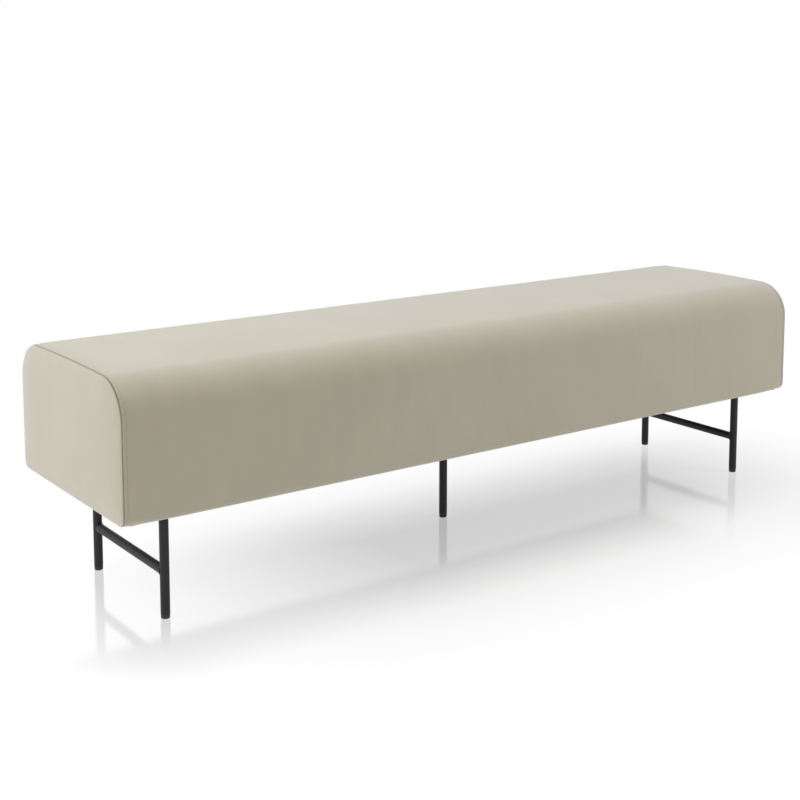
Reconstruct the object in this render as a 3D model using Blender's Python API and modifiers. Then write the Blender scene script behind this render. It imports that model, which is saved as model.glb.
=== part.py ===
"""Upholstered bench on two welded steel leg frames and a middle leg.

The seat block is a plywood carcass with foam on its top and all four sides. Its sewn
cover is one long piece over front, top and rear, closed at each end by a crowned panel,
and both are turned under and fixed to the underside, where a dust cloth closes the
carcass. Each leg frame is two tubes with a coped stretcher between them under a flat
steel plate, and the plates are screwed to timber rails inside the block.

Lengths are in metres. +X runs along the bench, the front faces -Y, +Z is up, and the
origin is on the floor below the middle of the bench.
"""

import math

import bmesh
import bpy
from mathutils import Matrix, Vector

PART_COLLECTION = "upholstered_bench"
CUTTER_COLLECTION = "bench_cutters"

# Seat block, over the cover
SEAT_HEIGHT = 0.458
UNDERSIDE_HEIGHT = 0.206
BLOCK_DEPTH = 0.448
SEAM_SPACING = 1.676
TOP_EDGE_RADIUS = 0.075
BOTTOM_EDGE_RADIUS = 0.010
TOP_CROWN = 0.002

# The end seams draw the cover in, and the end panels stand out past them
SEAM_DRAW = 0.0025
SEAM_REACH = 0.035
SEAM_DRAW_POWER = 2.4
STITCH_REACH = 0.007
STITCH_RIDGE = 0.0006
END_CROWN = 0.010
END_CROWN_REACH = 0.070
END_CROWN_POWER = 2.6

# Cloth and foam
COVER_THICKNESS = 0.0015
COVER_TURN_UNDER = 0.030
SEAT_FOAM_THICKNESS = 0.070
SIDE_FOAM_THICKNESS = 0.018
END_FOAM_THICKNESS = 0.020
DUST_CLOTH_THICKNESS = 0.0008
DUST_CLOTH_OVERLAP = 0.016
DUST_CLOTH_STEP_RUN = 0.006

# Timber carcass
BOARD_THICKNESS = 0.015
DECK_THICKNESS = 0.012
RIB_THICKNESS = 0.015
LEG_RAIL_WIDTH = 0.095
LEG_RAIL_HEIGHT = 0.032
LEFT_RAIL_SET_IN = 0.034
RIGHT_RAIL_SET_IN = 0.002
VENT_RADIUS = 0.020
TIMBER_EDGE_BREAK = 0.001

# Steel legs
TUBE_DIAMETER = 0.0172
TUBE_WALL = 0.0018
TUBE_EDGE_BREAK = 0.0004
LEG_SET_IN = 0.080
STRETCHER_HEIGHT = 0.086
PLATE_THICKNESS = 0.004
PLATE_WIDTH = 0.050
PLATE_END_CLEARANCE = 0.015
MIDDLE_PLATE_SIDE = 0.080
PLATE_CORNER_RADIUS = 0.006
PLATE_CLOTH_LAP = 0.004

# Glides
GLIDE_FOOT_HEIGHT = 0.008
GLIDE_REVEAL = 0.0003
GLIDE_PLUG_LENGTH = 0.014
GLIDE_EDGE_RADIUS = 0.0022

# Plate screws
SCREW_SHANK_RADIUS = 0.0022
SCREW_HEAD_RADIUS = 0.0045
SCREW_HEAD_HEIGHT = 0.0026
SCREW_EDGE_DISTANCE = 0.010
SCREW_HOLE_CLEARANCE = 0.0006
SCREW_TIP_LENGTH = 0.004
SCREW_BITE_SHARE = 0.70

# Clearance between pieces that rest on, or fit in, each other
FIT_GAP = 0.0003
CUT_OVERRUN = 0.002
MERGE_DISTANCE = 0.00001

# Shares of the sizes that they follow
BODY_STATION_SHARES = (1.0, 0.60, 0.35, 0.18, 0.0)
STITCH_STRIP_SHARES = ((1.0, 0.0), (0.90, 1.0), (0.30, 1.0), (0.0, 0.0))
CROWN_STEP_SHARES = (0.02, 0.08, 0.20, 0.45, 1.0)
CROWN_LIP_SHARE = 0.10
TIGHTEST_RADIUS_SHARE = 0.20
TIGHTEST_FLAP_SHARE = 0.30
CORNER_BLOCK_SHARE = 0.80
VENT_PLACE_SHARES = (0.26, 0.74)

# Facet counts
TOP_ARC_STEPS = 9
BOTTOM_ARC_STEPS = 3
TOP_STEPS = 6
TUBE_STEPS = 32
GLIDE_STEPS = 24
SCREW_STEPS = 12
HOLE_STEPS = 16
VENT_STEPS = 24
EDGE_ARC_STEPS = 4

HALF_TURN = math.pi
QUARTER_TURN = math.pi / 2
SHARP_ANGLE = math.radians(30)

# Seat block, worked out
half_depth = BLOCK_DEPTH / 2
seam_x = SEAM_SPACING / 2
end_x = seam_x + END_CROWN
lining = COVER_THICKNESS + FIT_GAP
timber_base = UNDERSIDE_HEIGHT + lining
foam_base = SEAT_HEIGHT - lining - SEAT_FOAM_THICKNESS
flap_inner_y = half_depth - COVER_TURN_UNDER
flap_inner_x = seam_x - COVER_TURN_UNDER

# Carcass, worked out
carcass_half_depth = half_depth - lining - SIDE_FOAM_THICKNESS - FIT_GAP
carcass_half_length = end_x - lining - END_FOAM_THICKNESS - FIT_GAP
deck_top = foam_base - FIT_GAP
board_top = deck_top - DECK_THICKNESS - FIT_GAP
board_inner_y = carcass_half_depth - BOARD_THICKNESS
board_inner_x = carcass_half_length - BOARD_THICKNESS
cross_half_length = board_inner_y - FIT_GAP
rail_top = timber_base + LEG_RAIL_HEIGHT
left_frame_x = -(board_inner_x - LEFT_RAIL_SET_IN - LEG_RAIL_WIDTH / 2)
right_frame_x = board_inner_x - RIGHT_RAIL_SET_IN - LEG_RAIL_WIDTH / 2
frame_places = {"left": left_frame_x, "right": right_frame_x}
rail_places = {"left": left_frame_x, "centre": 0, "right": right_frame_x}
narrowest_end_bay = board_inner_x - RIB_THICKNESS / 2 - max(-left_frame_x, right_frame_x)
corner_block_side = narrowest_end_bay * CORNER_BLOCK_SHARE

# Legs, worked out
tube_radius = TUBE_DIAMETER / 2
tube_bore = tube_radius - TUBE_WALL
leg_y = half_depth - LEG_SET_IN
cloth_top = timber_base - FIT_GAP
plate_top = cloth_top - DUST_CLOTH_THICKNESS - FIT_GAP
plate_base = plate_top - PLATE_THICKNESS
plate_half_length = flap_inner_y - PLATE_END_CLEARANCE
leg_top = plate_base - FIT_GAP
leg_base = GLIDE_FOOT_HEIGHT + FIT_GAP
screw_head_top = plate_base - FIT_GAP
screw_tip = timber_base + LEG_RAIL_HEIGHT * SCREW_BITE_SHARE
screw_length = screw_tip - screw_head_top
plate_hole_radius = SCREW_SHANK_RADIUS + SCREW_HOLE_CLEARANCE
pilot_hole_radius = SCREW_SHANK_RADIUS + FIT_GAP


def clear_scene():
    """Remove the objects that a new Blender file starts with."""
    for old in list(bpy.data.objects):
        bpy.data.objects.remove(old, do_unlink=True)


def new_collection(name):
    """Make a collection in the scene and return it."""
    collection = bpy.data.collections.new(name)
    bpy.context.scene.collection.children.link(collection)
    return collection


def new_material(name, colour, roughness, metallic=0.0):
    """Make a plain Principled material."""
    material = bpy.data.materials.new(name)
    material.use_nodes = True
    shader = material.node_tree.nodes["Principled BSDF"]
    shader.inputs["Base Color"].default_value = (*colour, 1.0)
    shader.inputs["Roughness"].default_value = roughness
    shader.inputs["Metallic"].default_value = metallic
    return material


def make_materials():
    """The bench's materials, by name."""
    return {
        "velvet": new_material("greige_velvet", (0.62, 0.585, 0.51), 0.85),
        "dust_cloth": new_material("black_dust_cloth", (0.03, 0.03, 0.032), 0.95),
        "foam": new_material("cream_foam", (0.80, 0.74, 0.55), 0.90),
        "plywood": new_material("birch_plywood", (0.66, 0.50, 0.32), 0.60),
        "hardwood": new_material("beech", (0.60, 0.40, 0.24), 0.55),
        "black_steel": new_material("powder_coated_steel", (0.035, 0.034, 0.034), 0.45, 0.3),
        "glide": new_material("black_nylon", (0.025, 0.025, 0.025), 0.50),
        "zinc": new_material("zinc_plated_steel", (0.60, 0.61, 0.62), 0.35, 1.0),
    }


def add_mesh_object(name, bm, material):
    """Turn a bmesh into a named object of the bench."""
    mesh = bpy.data.meshes.new(name)
    bm.to_mesh(mesh)
    bm.free()
    mesh.materials.append(material)
    part = bpy.data.objects.new(name, mesh)
    bpy.data.collections[PART_COLLECTION].objects.link(part)
    return part


def add_cutter(name, bm):
    """Turn a bmesh into a cutter, which isn't a piece of the bench."""
    mesh = bpy.data.meshes.new(name)
    bm.to_mesh(mesh)
    bm.free()
    cutter = bpy.data.objects.new(name, mesh)
    cutter.hide_render = True
    cutter.display_type = "WIRE"
    bpy.data.collections[CUTTER_COLLECTION].objects.link(cutter)
    return cutter


def cut(part, cutter):
    """Cut one object out of another with a live modifier."""
    boolean = part.modifiers.new("cut", "BOOLEAN")
    boolean.operation = "DIFFERENCE"
    boolean.solver = "EXACT"
    boolean.object = cutter


def add_box(bm, low, high):
    """Add a box between two corners to a bmesh."""
    low = Vector(low)
    high = Vector(high)
    made = bmesh.ops.create_cube(bm, size=1)
    bmesh.ops.scale(bm, vec=high - low, verts=made["verts"])
    bmesh.ops.translate(bm, vec=(low + high) / 2, verts=made["verts"])


def add_rod(bm, radius, low, high, steps):
    """Add an upright closed cylinder, from low to high, to a bmesh."""
    depth = high.z - low.z
    centre = Matrix.Translation((low + high) / 2)
    bmesh.ops.create_cone(
        bm, cap_ends=True, segments=steps, radius1=radius, radius2=radius, depth=depth, matrix=centre
    )


def make_box(name, low, high, material, edge_break=0):
    """Make a box-shaped piece between two corners, its edges broken if asked."""
    bm = bmesh.new()
    add_box(bm, low, high)
    part = add_mesh_object(name, bm, material)
    if edge_break:
        bevel = part.modifiers.new("edge break", "BEVEL")
        bevel.width = edge_break
        bevel.segments = 1
    return part


def make_turned(name, outline, steps, material, closed=False):
    """Turn an outline of (radius, height) points about the vertical axis.

    The outline runs down the outer side. An open one starts and ends on the axis.
    """
    bm = bmesh.new()
    points = [bm.verts.new((radius, 0, height)) for radius, height in outline]
    for first, second in zip(points, points[1:]):
        bm.edges.new((first, second))
    if closed:
        bm.edges.new((points[-1], points[0]))
    part = add_mesh_object(name, bm, material)
    screw = part.modifiers.new("turn", "SCREW")
    screw.axis = "Z"
    screw.steps = steps
    screw.render_steps = steps
    screw.use_merge_vertices = True
    screw.merge_threshold = MERGE_DISTANCE
    screw.use_smooth_shade = True
    return part


def arc(centre, radius, start, end, steps):
    """Points of a circular arc, both ends included."""
    turns = [start + (end - start) * step / steps for step in range(steps + 1)]
    return [
        (centre[0] + radius * math.cos(turn), centre[1] + radius * math.sin(turn))
        for turn in turns
    ]


def block_section(inset, draw):
    """The block's closed outline across the bench, as (y, z) points.

    inset moves the whole outline inwards, and draw is the part of it that leaves the
    underside where it is. The outline starts at the inner edge of the front flap and
    runs round front, top and rear to the inner edge of the rear flap. A slice with a
    deep inset keeps tight corners and the same number of points.
    """
    depth = half_depth - inset
    base = UNDERSIDE_HEIGHT + inset - draw
    edge_top = SEAT_HEIGHT - TOP_CROWN - inset
    low_radius = max(BOTTOM_EDGE_RADIUS - inset, BOTTOM_EDGE_RADIUS * TIGHTEST_RADIUS_SHARE)
    high_radius = max(TOP_EDGE_RADIUS - inset, TOP_EDGE_RADIUS * TIGHTEST_RADIUS_SHARE)
    flat_half = depth - high_radius
    flap = min(flap_inner_y, depth - low_radius - COVER_TURN_UNDER * TIGHTEST_FLAP_SHARE)

    front = [(-flap, base)]
    low_centre = (-(depth - low_radius), base + low_radius)
    front += arc(low_centre, low_radius, HALF_TURN + QUARTER_TURN, HALF_TURN, BOTTOM_ARC_STEPS)
    high_centre = (-flat_half, edge_top - high_radius)
    front += arc(high_centre, high_radius, HALF_TURN, QUARTER_TURN, TOP_ARC_STEPS)

    top = []
    for step in range(1, TOP_STEPS):
        place = 2 * step / TOP_STEPS - 1
        top.append((flat_half * place, edge_top + TOP_CROWN * (1 - place ** 2)))

    rear = [(-y, z) for y, z in reversed(front)]
    return front + top + rear


def crown_rise(share):
    """How much of its full crown an end panel has at a share of the crown's reach."""
    return (1 - (1 - share) ** END_CROWN_POWER) ** (1 / END_CROWN_POWER)


def drawn_in(distance):
    """How far the block is drawn in at a distance from the seam."""
    return SEAM_DRAW * (1 - distance / SEAM_REACH) ** SEAM_DRAW_POWER


def body_stations():
    """Stations from the straight body out to the seam, under the cloth: (x, inset, draw)."""
    stations = []
    for share in BODY_STATION_SHARES:
        distance = SEAM_REACH * share
        draw = drawn_in(distance)
        stations.append((seam_x - distance, draw, draw))
    return stations


def cover_stations():
    """The cloth's stations: the body's as far as the topstitching, then the strip that
    covers the seam's turnings and stands a little proud."""
    stations = [station for station in body_stations() if station[0] < seam_x - STITCH_REACH]
    for share, ridge_share in STITCH_STRIP_SHARES:
        distance = STITCH_REACH * share
        draw = drawn_in(distance) - STITCH_RIDGE * ridge_share
        stations.append((seam_x - distance, draw, draw))
    return stations


def crown_stations():
    """Stations from the seam over an end panel's crown: (x, inset, draw)."""
    lip = seam_x + END_CROWN * CROWN_LIP_SHARE
    stations = [(seam_x + FIT_GAP, SEAM_DRAW, SEAM_DRAW), (lip, SEAM_DRAW, SEAM_DRAW)]
    for share in CROWN_STEP_SHARES:
        x = seam_x + END_CROWN * crown_rise(share)
        stations.append((x, SEAM_DRAW + END_CROWN_REACH * share, SEAM_DRAW))
    return stations


def offset_stations(stations, distance):
    """Move a run of stations inwards by a distance at right angles to their line."""
    places = [Vector((x, -inset)) for x, inset, draw in stations]
    runs = [(after - before).normalized() for before, after in zip(places, places[1:])]
    moved = []
    for number, (x, inset, draw) in enumerate(stations):
        before = runs[max(number - 1, 0)]
        after = runs[min(number, len(runs) - 1)]
        along = (before + after).normalized()
        outward = Vector((-along.y, along.x))
        step = distance / outward.dot(Vector((-before.y, before.x)))
        moved.append((x - outward.x * step, inset + outward.y * step, draw))
    return moved


def both_ends(stations):
    """Stations for the whole length, from stations of the right-hand half."""
    return [(-x, inset, draw) for x, inset, draw in reversed(stations)] + stations


def loft(bm, stations, closed):
    """Join the block's sections at some stations into a surface that faces outwards.

    It returns the rows of points, one row for each station.
    """
    rows = []
    for x, inset, draw in stations:
        rows.append([bm.verts.new((x, y, z)) for y, z in block_section(inset, draw)])
    for row, following in zip(rows, rows[1:]):
        count = len(row)
        for place in range(count if closed else count - 1):
            after = (place + 1) % count
            bm.faces.new((row[place], following[place], following[after], row[after]))
    return rows


def thicken(part, thickness):
    """Give an open surface its thickness, inwards."""
    solidify = part.modifiers.new("thickness", "SOLIDIFY")
    solidify.thickness = thickness
    solidify.offset = -1
    solidify.use_even_offset = True


def shade_smooth(part):
    """Shade a cloth or foam piece smooth."""
    part.data.shade_smooth()


def make_body_cover(materials):
    """The long piece of the cover: front, top and rear, with its edges turned under."""
    bm = bmesh.new()
    loft(bm, both_ends(cover_stations()), closed=False)
    cover = add_mesh_object("body_cover", bm, materials["velvet"])
    shade_smooth(cover)
    thicken(cover, COVER_THICKNESS)


def make_end_cover(side, materials):
    """A crowned end panel of the cover, with its lower edge turned under.

    The panel is made at the right-hand end, and the left-hand one is its mirror image.
    """
    bm = bmesh.new()
    rows = loft(bm, crown_stations(), closed=True)
    bm.faces.new(list(reversed(rows[-1])))
    lower_edge = bm.edges.get((rows[0][-1], rows[0][0]))
    flap = bmesh.ops.extrude_edge_only(bm, edges=[lower_edge])
    flap_verts = [item for item in flap["geom"] if isinstance(item, bmesh.types.BMVert)]
    bmesh.ops.translate(bm, vec=(-COVER_TURN_UNDER, 0, 0), verts=flap_verts)
    for vert in (*flap_verts, rows[0][-1], rows[0][0]):
        vert.co.y -= math.copysign(FIT_GAP, vert.co.y)
    if side == "left":
        bmesh.ops.scale(bm, vec=(-1, 1, 1), verts=bm.verts)
        bmesh.ops.reverse_faces(bm, faces=bm.faces)
    cover = add_mesh_object(f"end_cover_{side}", bm, materials["velvet"])
    shade_smooth(cover)
    thicken(cover, COVER_THICKNESS)


def foam_form():
    """The closed form inside the whole cover, which the foam pieces are cut from."""
    stations = offset_stations(body_stations() + crown_stations()[1:], lining)
    bm = bmesh.new()
    rows = loft(bm, both_ends(stations), closed=True)
    bm.faces.new(rows[0])
    bm.faces.new(list(reversed(rows[-1])))
    return bm


def keep_side(bm, point, outward):
    """Slice a closed mesh with a plane, drop what lies outward of it and close the cut."""
    geometry = list(bm.verts) + list(bm.edges) + list(bm.faces)
    sliced = bmesh.ops.bisect_plane(
        bm, geom=geometry, plane_co=point, plane_no=outward, clear_outer=True
    )
    rim = [item for item in sliced["geom_cut"] if isinstance(item, bmesh.types.BMEdge)]
    bmesh.ops.edgeloop_fill(bm, edges=rim)
    bmesh.ops.recalc_face_normals(bm, faces=bm.faces)


def make_foam(name, slices, materials):
    """A foam piece: the form inside the cover, cut by planes of (point, outward)."""
    bm = foam_form()
    for point, outward in slices:
        keep_side(bm, point, outward)
    foam = add_mesh_object(name, bm, materials["foam"])
    foam.data.shade_smooth()
    foam.data.set_sharp_from_angle(angle=SHARP_ANGLE)


def make_foams(materials):
    """The thick seat slab and the four pads round the carcass."""
    make_foam("seat_foam", [((0, 0, foam_base), (0, 0, -1))], materials)
    below_seat = ((0, 0, foam_base - FIT_GAP), (0, 0, 1))
    pad_y = carcass_half_depth + FIT_GAP
    pad_x = carcass_half_length + FIT_GAP
    make_foam("front_foam", [below_seat, ((0, -pad_y, 0), (0, 1, 0))], materials)
    make_foam("rear_foam", [below_seat, ((0, pad_y, 0), (0, -1, 0))], materials)
    for side, sign in (("left", -1), ("right", 1)):
        slices = [
            below_seat,
            ((0, -carcass_half_depth, 0), (0, -1, 0)),
            ((0, carcass_half_depth, 0), (0, 1, 0)),
            ((sign * pad_x, 0, 0), (-sign, 0, 0)),
        ]
        make_foam(f"end_foam_{side}", slices, materials)


def plate_screw_places(place):
    """Where the screws of one plate stand, as (x, y) points."""
    x_middle = rail_places[place]
    if place == "centre":
        reach = MIDDLE_PLATE_SIDE / 2 - SCREW_EDGE_DISTANCE
        return [
            (x_middle + across * reach, along * reach)
            for across in (-1, 1)
            for along in (-1, 1)
        ]
    across_reach = PLATE_WIDTH / 2 - SCREW_EDGE_DISTANCE
    along_reach = plate_half_length - SCREW_EDGE_DISTANCE
    return [
        (x_middle + across * across_reach, along * along_reach)
        for across in (-1, 1)
        for along in (-1, 0, 1)
    ]


def plate_half_size(place):
    """Half of a plate's size along X and Y."""
    if place == "centre":
        return MIDDLE_PLATE_SIDE / 2, MIDDLE_PLATE_SIDE / 2
    return PLATE_WIDTH / 2, plate_half_length


def hole_cutter(name, places, radius, low, high):
    """One cutter with an upright rod at each place."""
    bm = bmesh.new()
    for x, y in places:
        add_rod(bm, radius, Vector((x, y, low)), Vector((x, y, high)), HOLE_STEPS)
    return add_cutter(name, bm)


def make_plate(place, materials):
    """A flat steel plate with rounded corners and its screw holes."""
    half_x, half_y = plate_half_size(place)
    x_middle = rail_places[place]
    corners = []
    for sign_x, sign_y, start in ((1, 1, 0), (-1, 1, 1), (-1, -1, 2), (1, -1, 3)):
        centre = (
            x_middle + sign_x * (half_x - PLATE_CORNER_RADIUS),
            sign_y * (half_y - PLATE_CORNER_RADIUS),
        )
        turn = start * QUARTER_TURN
        corners += arc(centre, PLATE_CORNER_RADIUS, turn, turn + QUARTER_TURN, EDGE_ARC_STEPS)
    bm = bmesh.new()
    face = bm.faces.new([bm.verts.new((x, y, plate_base)) for x, y in corners])
    raised = bmesh.ops.extrude_face_region(bm, geom=[face])
    raised_verts = [item for item in raised["geom"] if isinstance(item, bmesh.types.BMVert)]
    bmesh.ops.translate(bm, vec=(0, 0, PLATE_THICKNESS), verts=raised_verts)
    bmesh.ops.recalc_face_normals(bm, faces=bm.faces)
    plate = add_mesh_object(f"frame_plate_{place}", bm, materials["black_steel"])
    holes = hole_cutter(
        f"plate_holes_{place}",
        plate_screw_places(place),
        plate_hole_radius,
        plate_base - CUT_OVERRUN,
        plate_top + CUT_OVERRUN,
    )
    cut(plate, holes)


def make_leg(name, x, y, materials):
    """A leg tube, open at both ends, with its outer rims broken."""
    outline = [
        (tube_radius - TUBE_EDGE_BREAK, leg_top),
        (tube_radius, leg_top - TUBE_EDGE_BREAK),
        (tube_radius, leg_base + TUBE_EDGE_BREAK),
        (tube_radius - TUBE_EDGE_BREAK, leg_base),
        (tube_bore, leg_base),
        (tube_bore, leg_top),
    ]
    leg = make_turned(name, outline, TUBE_STEPS, materials["black_steel"], closed=True)
    leg.location = (x, y, 0)


def make_glide(name, x, y, materials):
    """A nylon glide: a round-edged foot with a plug that fills the tube's bore."""
    foot_radius = tube_radius - GLIDE_REVEAL
    plug_radius = tube_bore - FIT_GAP
    plug_top = GLIDE_FOOT_HEIGHT + GLIDE_PLUG_LENGTH
    plug_break = min(GLIDE_EDGE_RADIUS, plug_radius) / 2
    outline = [
        (0, plug_top),
        (plug_radius - plug_break, plug_top),
        (plug_radius, plug_top - plug_break),
        (plug_radius, GLIDE_FOOT_HEIGHT),
        (foot_radius, GLIDE_FOOT_HEIGHT),
    ]
    edge_centre = (foot_radius - GLIDE_EDGE_RADIUS, GLIDE_EDGE_RADIUS)
    outline += arc(edge_centre, GLIDE_EDGE_RADIUS, 0, -QUARTER_TURN, EDGE_ARC_STEPS)
    outline.append((0, 0))
    glide = make_turned(name, outline, GLIDE_STEPS, materials["glide"])
    glide.location = (x, y, 0)


def make_stretcher(side, materials):
    """The tube between two legs, coped to fit round them at both ends."""
    x = frame_places[side]
    half_length = leg_y - TUBE_WALL
    outline = [
        (tube_radius, half_length),
        (tube_radius, -half_length),
        (tube_bore, -half_length),
        (tube_bore, half_length),
    ]
    name = f"stretcher_{side}"
    stretcher = make_turned(name, outline, TUBE_STEPS, materials["black_steel"], closed=True)
    stretcher.rotation_euler = (QUARTER_TURN, 0, 0)
    stretcher.location = (x, 0, STRETCHER_HEIGHT)
    bm = bmesh.new()
    low_z = STRETCHER_HEIGHT - TUBE_DIAMETER
    high_z = STRETCHER_HEIGHT + TUBE_DIAMETER
    for y in (-leg_y, leg_y):
        low = Vector((x, y, low_z))
        high = Vector((x, y, high_z))
        add_rod(bm, tube_radius + FIT_GAP, low, high, TUBE_STEPS)
    cut(stretcher, add_cutter(f"{name}_copes", bm))


def make_leg_frames(materials):
    """Both leg frames and the middle leg, each leg with its glide."""
    for side, x in frame_places.items():
        for row, y in (("front", -leg_y), ("rear", leg_y)):
            make_leg(f"leg_{row}_{side}", x, y, materials)
            make_glide(f"glide_{row}_{side}", x, y, materials)
        make_stretcher(side, materials)
    make_leg("leg_centre", 0, 0, materials)
    make_glide("glide_centre", 0, 0, materials)
    for place in rail_places:
        make_plate(place, materials)


def make_screws(materials):
    """The pan-head wood screws that hold each plate to its rail."""
    shank_top = screw_length - SCREW_TIP_LENGTH
    shoulder = SCREW_HEAD_HEIGHT / 2
    outline = [
        (0, screw_length),
        (SCREW_SHANK_RADIUS, shank_top),
        (SCREW_SHANK_RADIUS, 0),
        (SCREW_HEAD_RADIUS, 0),
        (SCREW_HEAD_RADIUS, -shoulder),
        (SCREW_HEAD_RADIUS - shoulder, -SCREW_HEAD_HEIGHT),
        (0, -SCREW_HEAD_HEIGHT),
    ]
    for place in rail_places:
        for number, (x, y) in enumerate(plate_screw_places(place), start=1):
            name = f"plate_screw_{place}_{number}"
            screw = make_turned(name, outline, SCREW_STEPS, materials["zinc"])
            screw.location = (x, y, screw_head_top)


def make_leg_rail(place, materials):
    """A rail across the carcass, with the blind holes of its plate's screws."""
    x = rail_places[place]
    half_width = LEG_RAIL_WIDTH / 2
    low = (x - half_width, -cross_half_length, timber_base)
    high = (x + half_width, cross_half_length, rail_top)
    rail = make_box(f"leg_rail_{place}", low, high, materials["hardwood"], TIMBER_EDGE_BREAK)
    holes = hole_cutter(
        f"rail_holes_{place}",
        plate_screw_places(place),
        pilot_hole_radius,
        timber_base - CUT_OVERRUN,
        screw_tip + FIT_GAP,
    )
    cut(rail, holes)


def make_cross_rib(place, materials):
    """A plywood rib that carries the deck on a leg rail."""
    x = rail_places[place]
    half_width = RIB_THICKNESS / 2
    low = (x - half_width, -cross_half_length, rail_top + FIT_GAP)
    high = (x + half_width, cross_half_length, board_top)
    make_box(f"cross_rib_{place}", low, high, materials["plywood"])


def make_boards(materials):
    """The four plywood boards of the carcass."""
    plywood = materials["plywood"]
    long_low = (-carcass_half_length, board_inner_y, timber_base)
    long_high = (carcass_half_length, carcass_half_depth, board_top)
    make_box("rear_board", long_low, long_high, plywood)
    front_low = (-carcass_half_length, -carcass_half_depth, timber_base)
    front_high = (carcass_half_length, -board_inner_y, board_top)
    make_box("front_board", front_low, front_high, plywood)
    left_low = (-carcass_half_length, -cross_half_length, timber_base)
    left_high = (-board_inner_x, cross_half_length, board_top)
    make_box("end_board_left", left_low, left_high, plywood)
    right_low = (board_inner_x, -cross_half_length, timber_base)
    right_high = (carcass_half_length, cross_half_length, board_top)
    make_box("end_board_right", right_low, right_high, plywood)


def make_corner_blocks(materials):
    """Glued blocks that stiffen the carcass's corners, above the leg rails."""
    outer_x = board_inner_x - FIT_GAP
    inner_x = outer_x - corner_block_side
    outer_y = cross_half_length
    inner_y = outer_y - corner_block_side
    for side, sign_x in (("left", -1), ("right", 1)):
        for row, sign_y in (("front", -1), ("rear", 1)):
            xs = sorted((sign_x * inner_x, sign_x * outer_x))
            ys = sorted((sign_y * inner_y, sign_y * outer_y))
            low = (xs[0], ys[0], rail_top + FIT_GAP)
            high = (xs[1], ys[1], board_top)
            name = f"corner_block_{row}_{side}"
            make_box(name, low, high, materials["hardwood"], TIMBER_EDGE_BREAK)


def make_seat_deck(materials):
    """The plywood deck under the seat foam, with two vent holes in each bay."""
    low = (-carcass_half_length, -carcass_half_depth, deck_top - DECK_THICKNESS)
    high = (carcass_half_length, carcass_half_depth, deck_top)
    deck = make_box("seat_deck", low, high, materials["plywood"])
    bm = bmesh.new()
    for start in (left_frame_x, 0):
        bay = -left_frame_x if start else right_frame_x
        for share in VENT_PLACE_SHARES:
            x = start + bay * share
            bottom = Vector((x, 0, deck_top - DECK_THICKNESS - CUT_OVERRUN))
            top = Vector((x, 0, deck_top + CUT_OVERRUN))
            add_rod(bm, VENT_RADIUS, bottom, top, VENT_STEPS)
    cut(deck, add_cutter("deck_vents", bm))


def make_carcass(materials):
    """All the timber inside the block."""
    make_boards(materials)
    make_corner_blocks(materials)
    for place in rail_places:
        make_leg_rail(place, materials)
        make_cross_rib(place, materials)
    make_seat_deck(materials)


def make_dust_cover(materials):
    """The cloth under the block. Its border lies over the turned-under cover, and each
    plate has a window that leaves the plate's screws clear."""
    border = DUST_CLOTH_OVERLAP + DUST_CLOTH_STEP_RUN / 2
    outer_x = flap_inner_x + DUST_CLOTH_OVERLAP
    outer_y = flap_inner_y + DUST_CLOTH_OVERLAP
    border_top = UNDERSIDE_HEIGHT - FIT_GAP
    bm = bmesh.new()
    bmesh.ops.create_grid(bm, x_segments=1, y_segments=1, size=1)
    bmesh.ops.scale(bm, vec=(outer_x, outer_y, 1), verts=bm.verts)
    bmesh.ops.translate(bm, vec=(0, 0, border_top), verts=bm.verts)
    middle = list(bm.faces)
    bmesh.ops.inset_region(
        bm, faces=middle, thickness=border, use_boundary=True, use_even_offset=True
    )
    run = DUST_CLOTH_STEP_RUN
    step = cloth_top - border_top
    bmesh.ops.inset_region(bm, faces=middle, thickness=run, depth=step, use_even_offset=True)
    cloth = add_mesh_object("dust_cover", bm, materials["dust_cloth"])
    thicken(cloth, DUST_CLOTH_THICKNESS)
    bm = bmesh.new()
    for place, x in rail_places.items():
        half_x, half_y = plate_half_size(place)
        window_x = half_x - PLATE_CLOTH_LAP
        window_y = half_y - PLATE_CLOTH_LAP
        low = (x - window_x, -window_y, plate_top - CUT_OVERRUN)
        high = (x + window_x, window_y, cloth_top + CUT_OVERRUN)
        add_box(bm, low, high)
    cut(cloth, add_cutter("dust_cover_windows", bm))


def main():
    """Build the whole bench."""
    clear_scene()
    new_collection(PART_COLLECTION)
    new_collection(CUTTER_COLLECTION)
    materials = make_materials()
    make_leg_frames(materials)
    make_screws(materials)
    make_carcass(materials)
    make_foams(materials)
    make_body_cover(materials)
    for side in ("left", "right"):
        make_end_cover(side, materials)
    make_dust_cover(materials)


main()
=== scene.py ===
"""The looks of an upholstered bench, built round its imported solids.

The steel legs, the glides and the timber keep their solids and get a finish each. The sewn
velvet cover, the pads under it, the dust cloth, the plate screws, the stitching, the staples and
the weld beads are modelled here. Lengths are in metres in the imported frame: +X runs along the
bench, the front faces -Y and the floor is at zero.
"""

import logging
import math
from collections.abc import Callable, Iterable, Iterator, Sequence
from contextlib import contextmanager
from dataclasses import dataclass, field, replace
from enum import Enum

import bmesh
import bpy
import numpy as np
from mathutils import Matrix, Vector, noise
from mathutils.bvhtree import BVHTree


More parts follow.
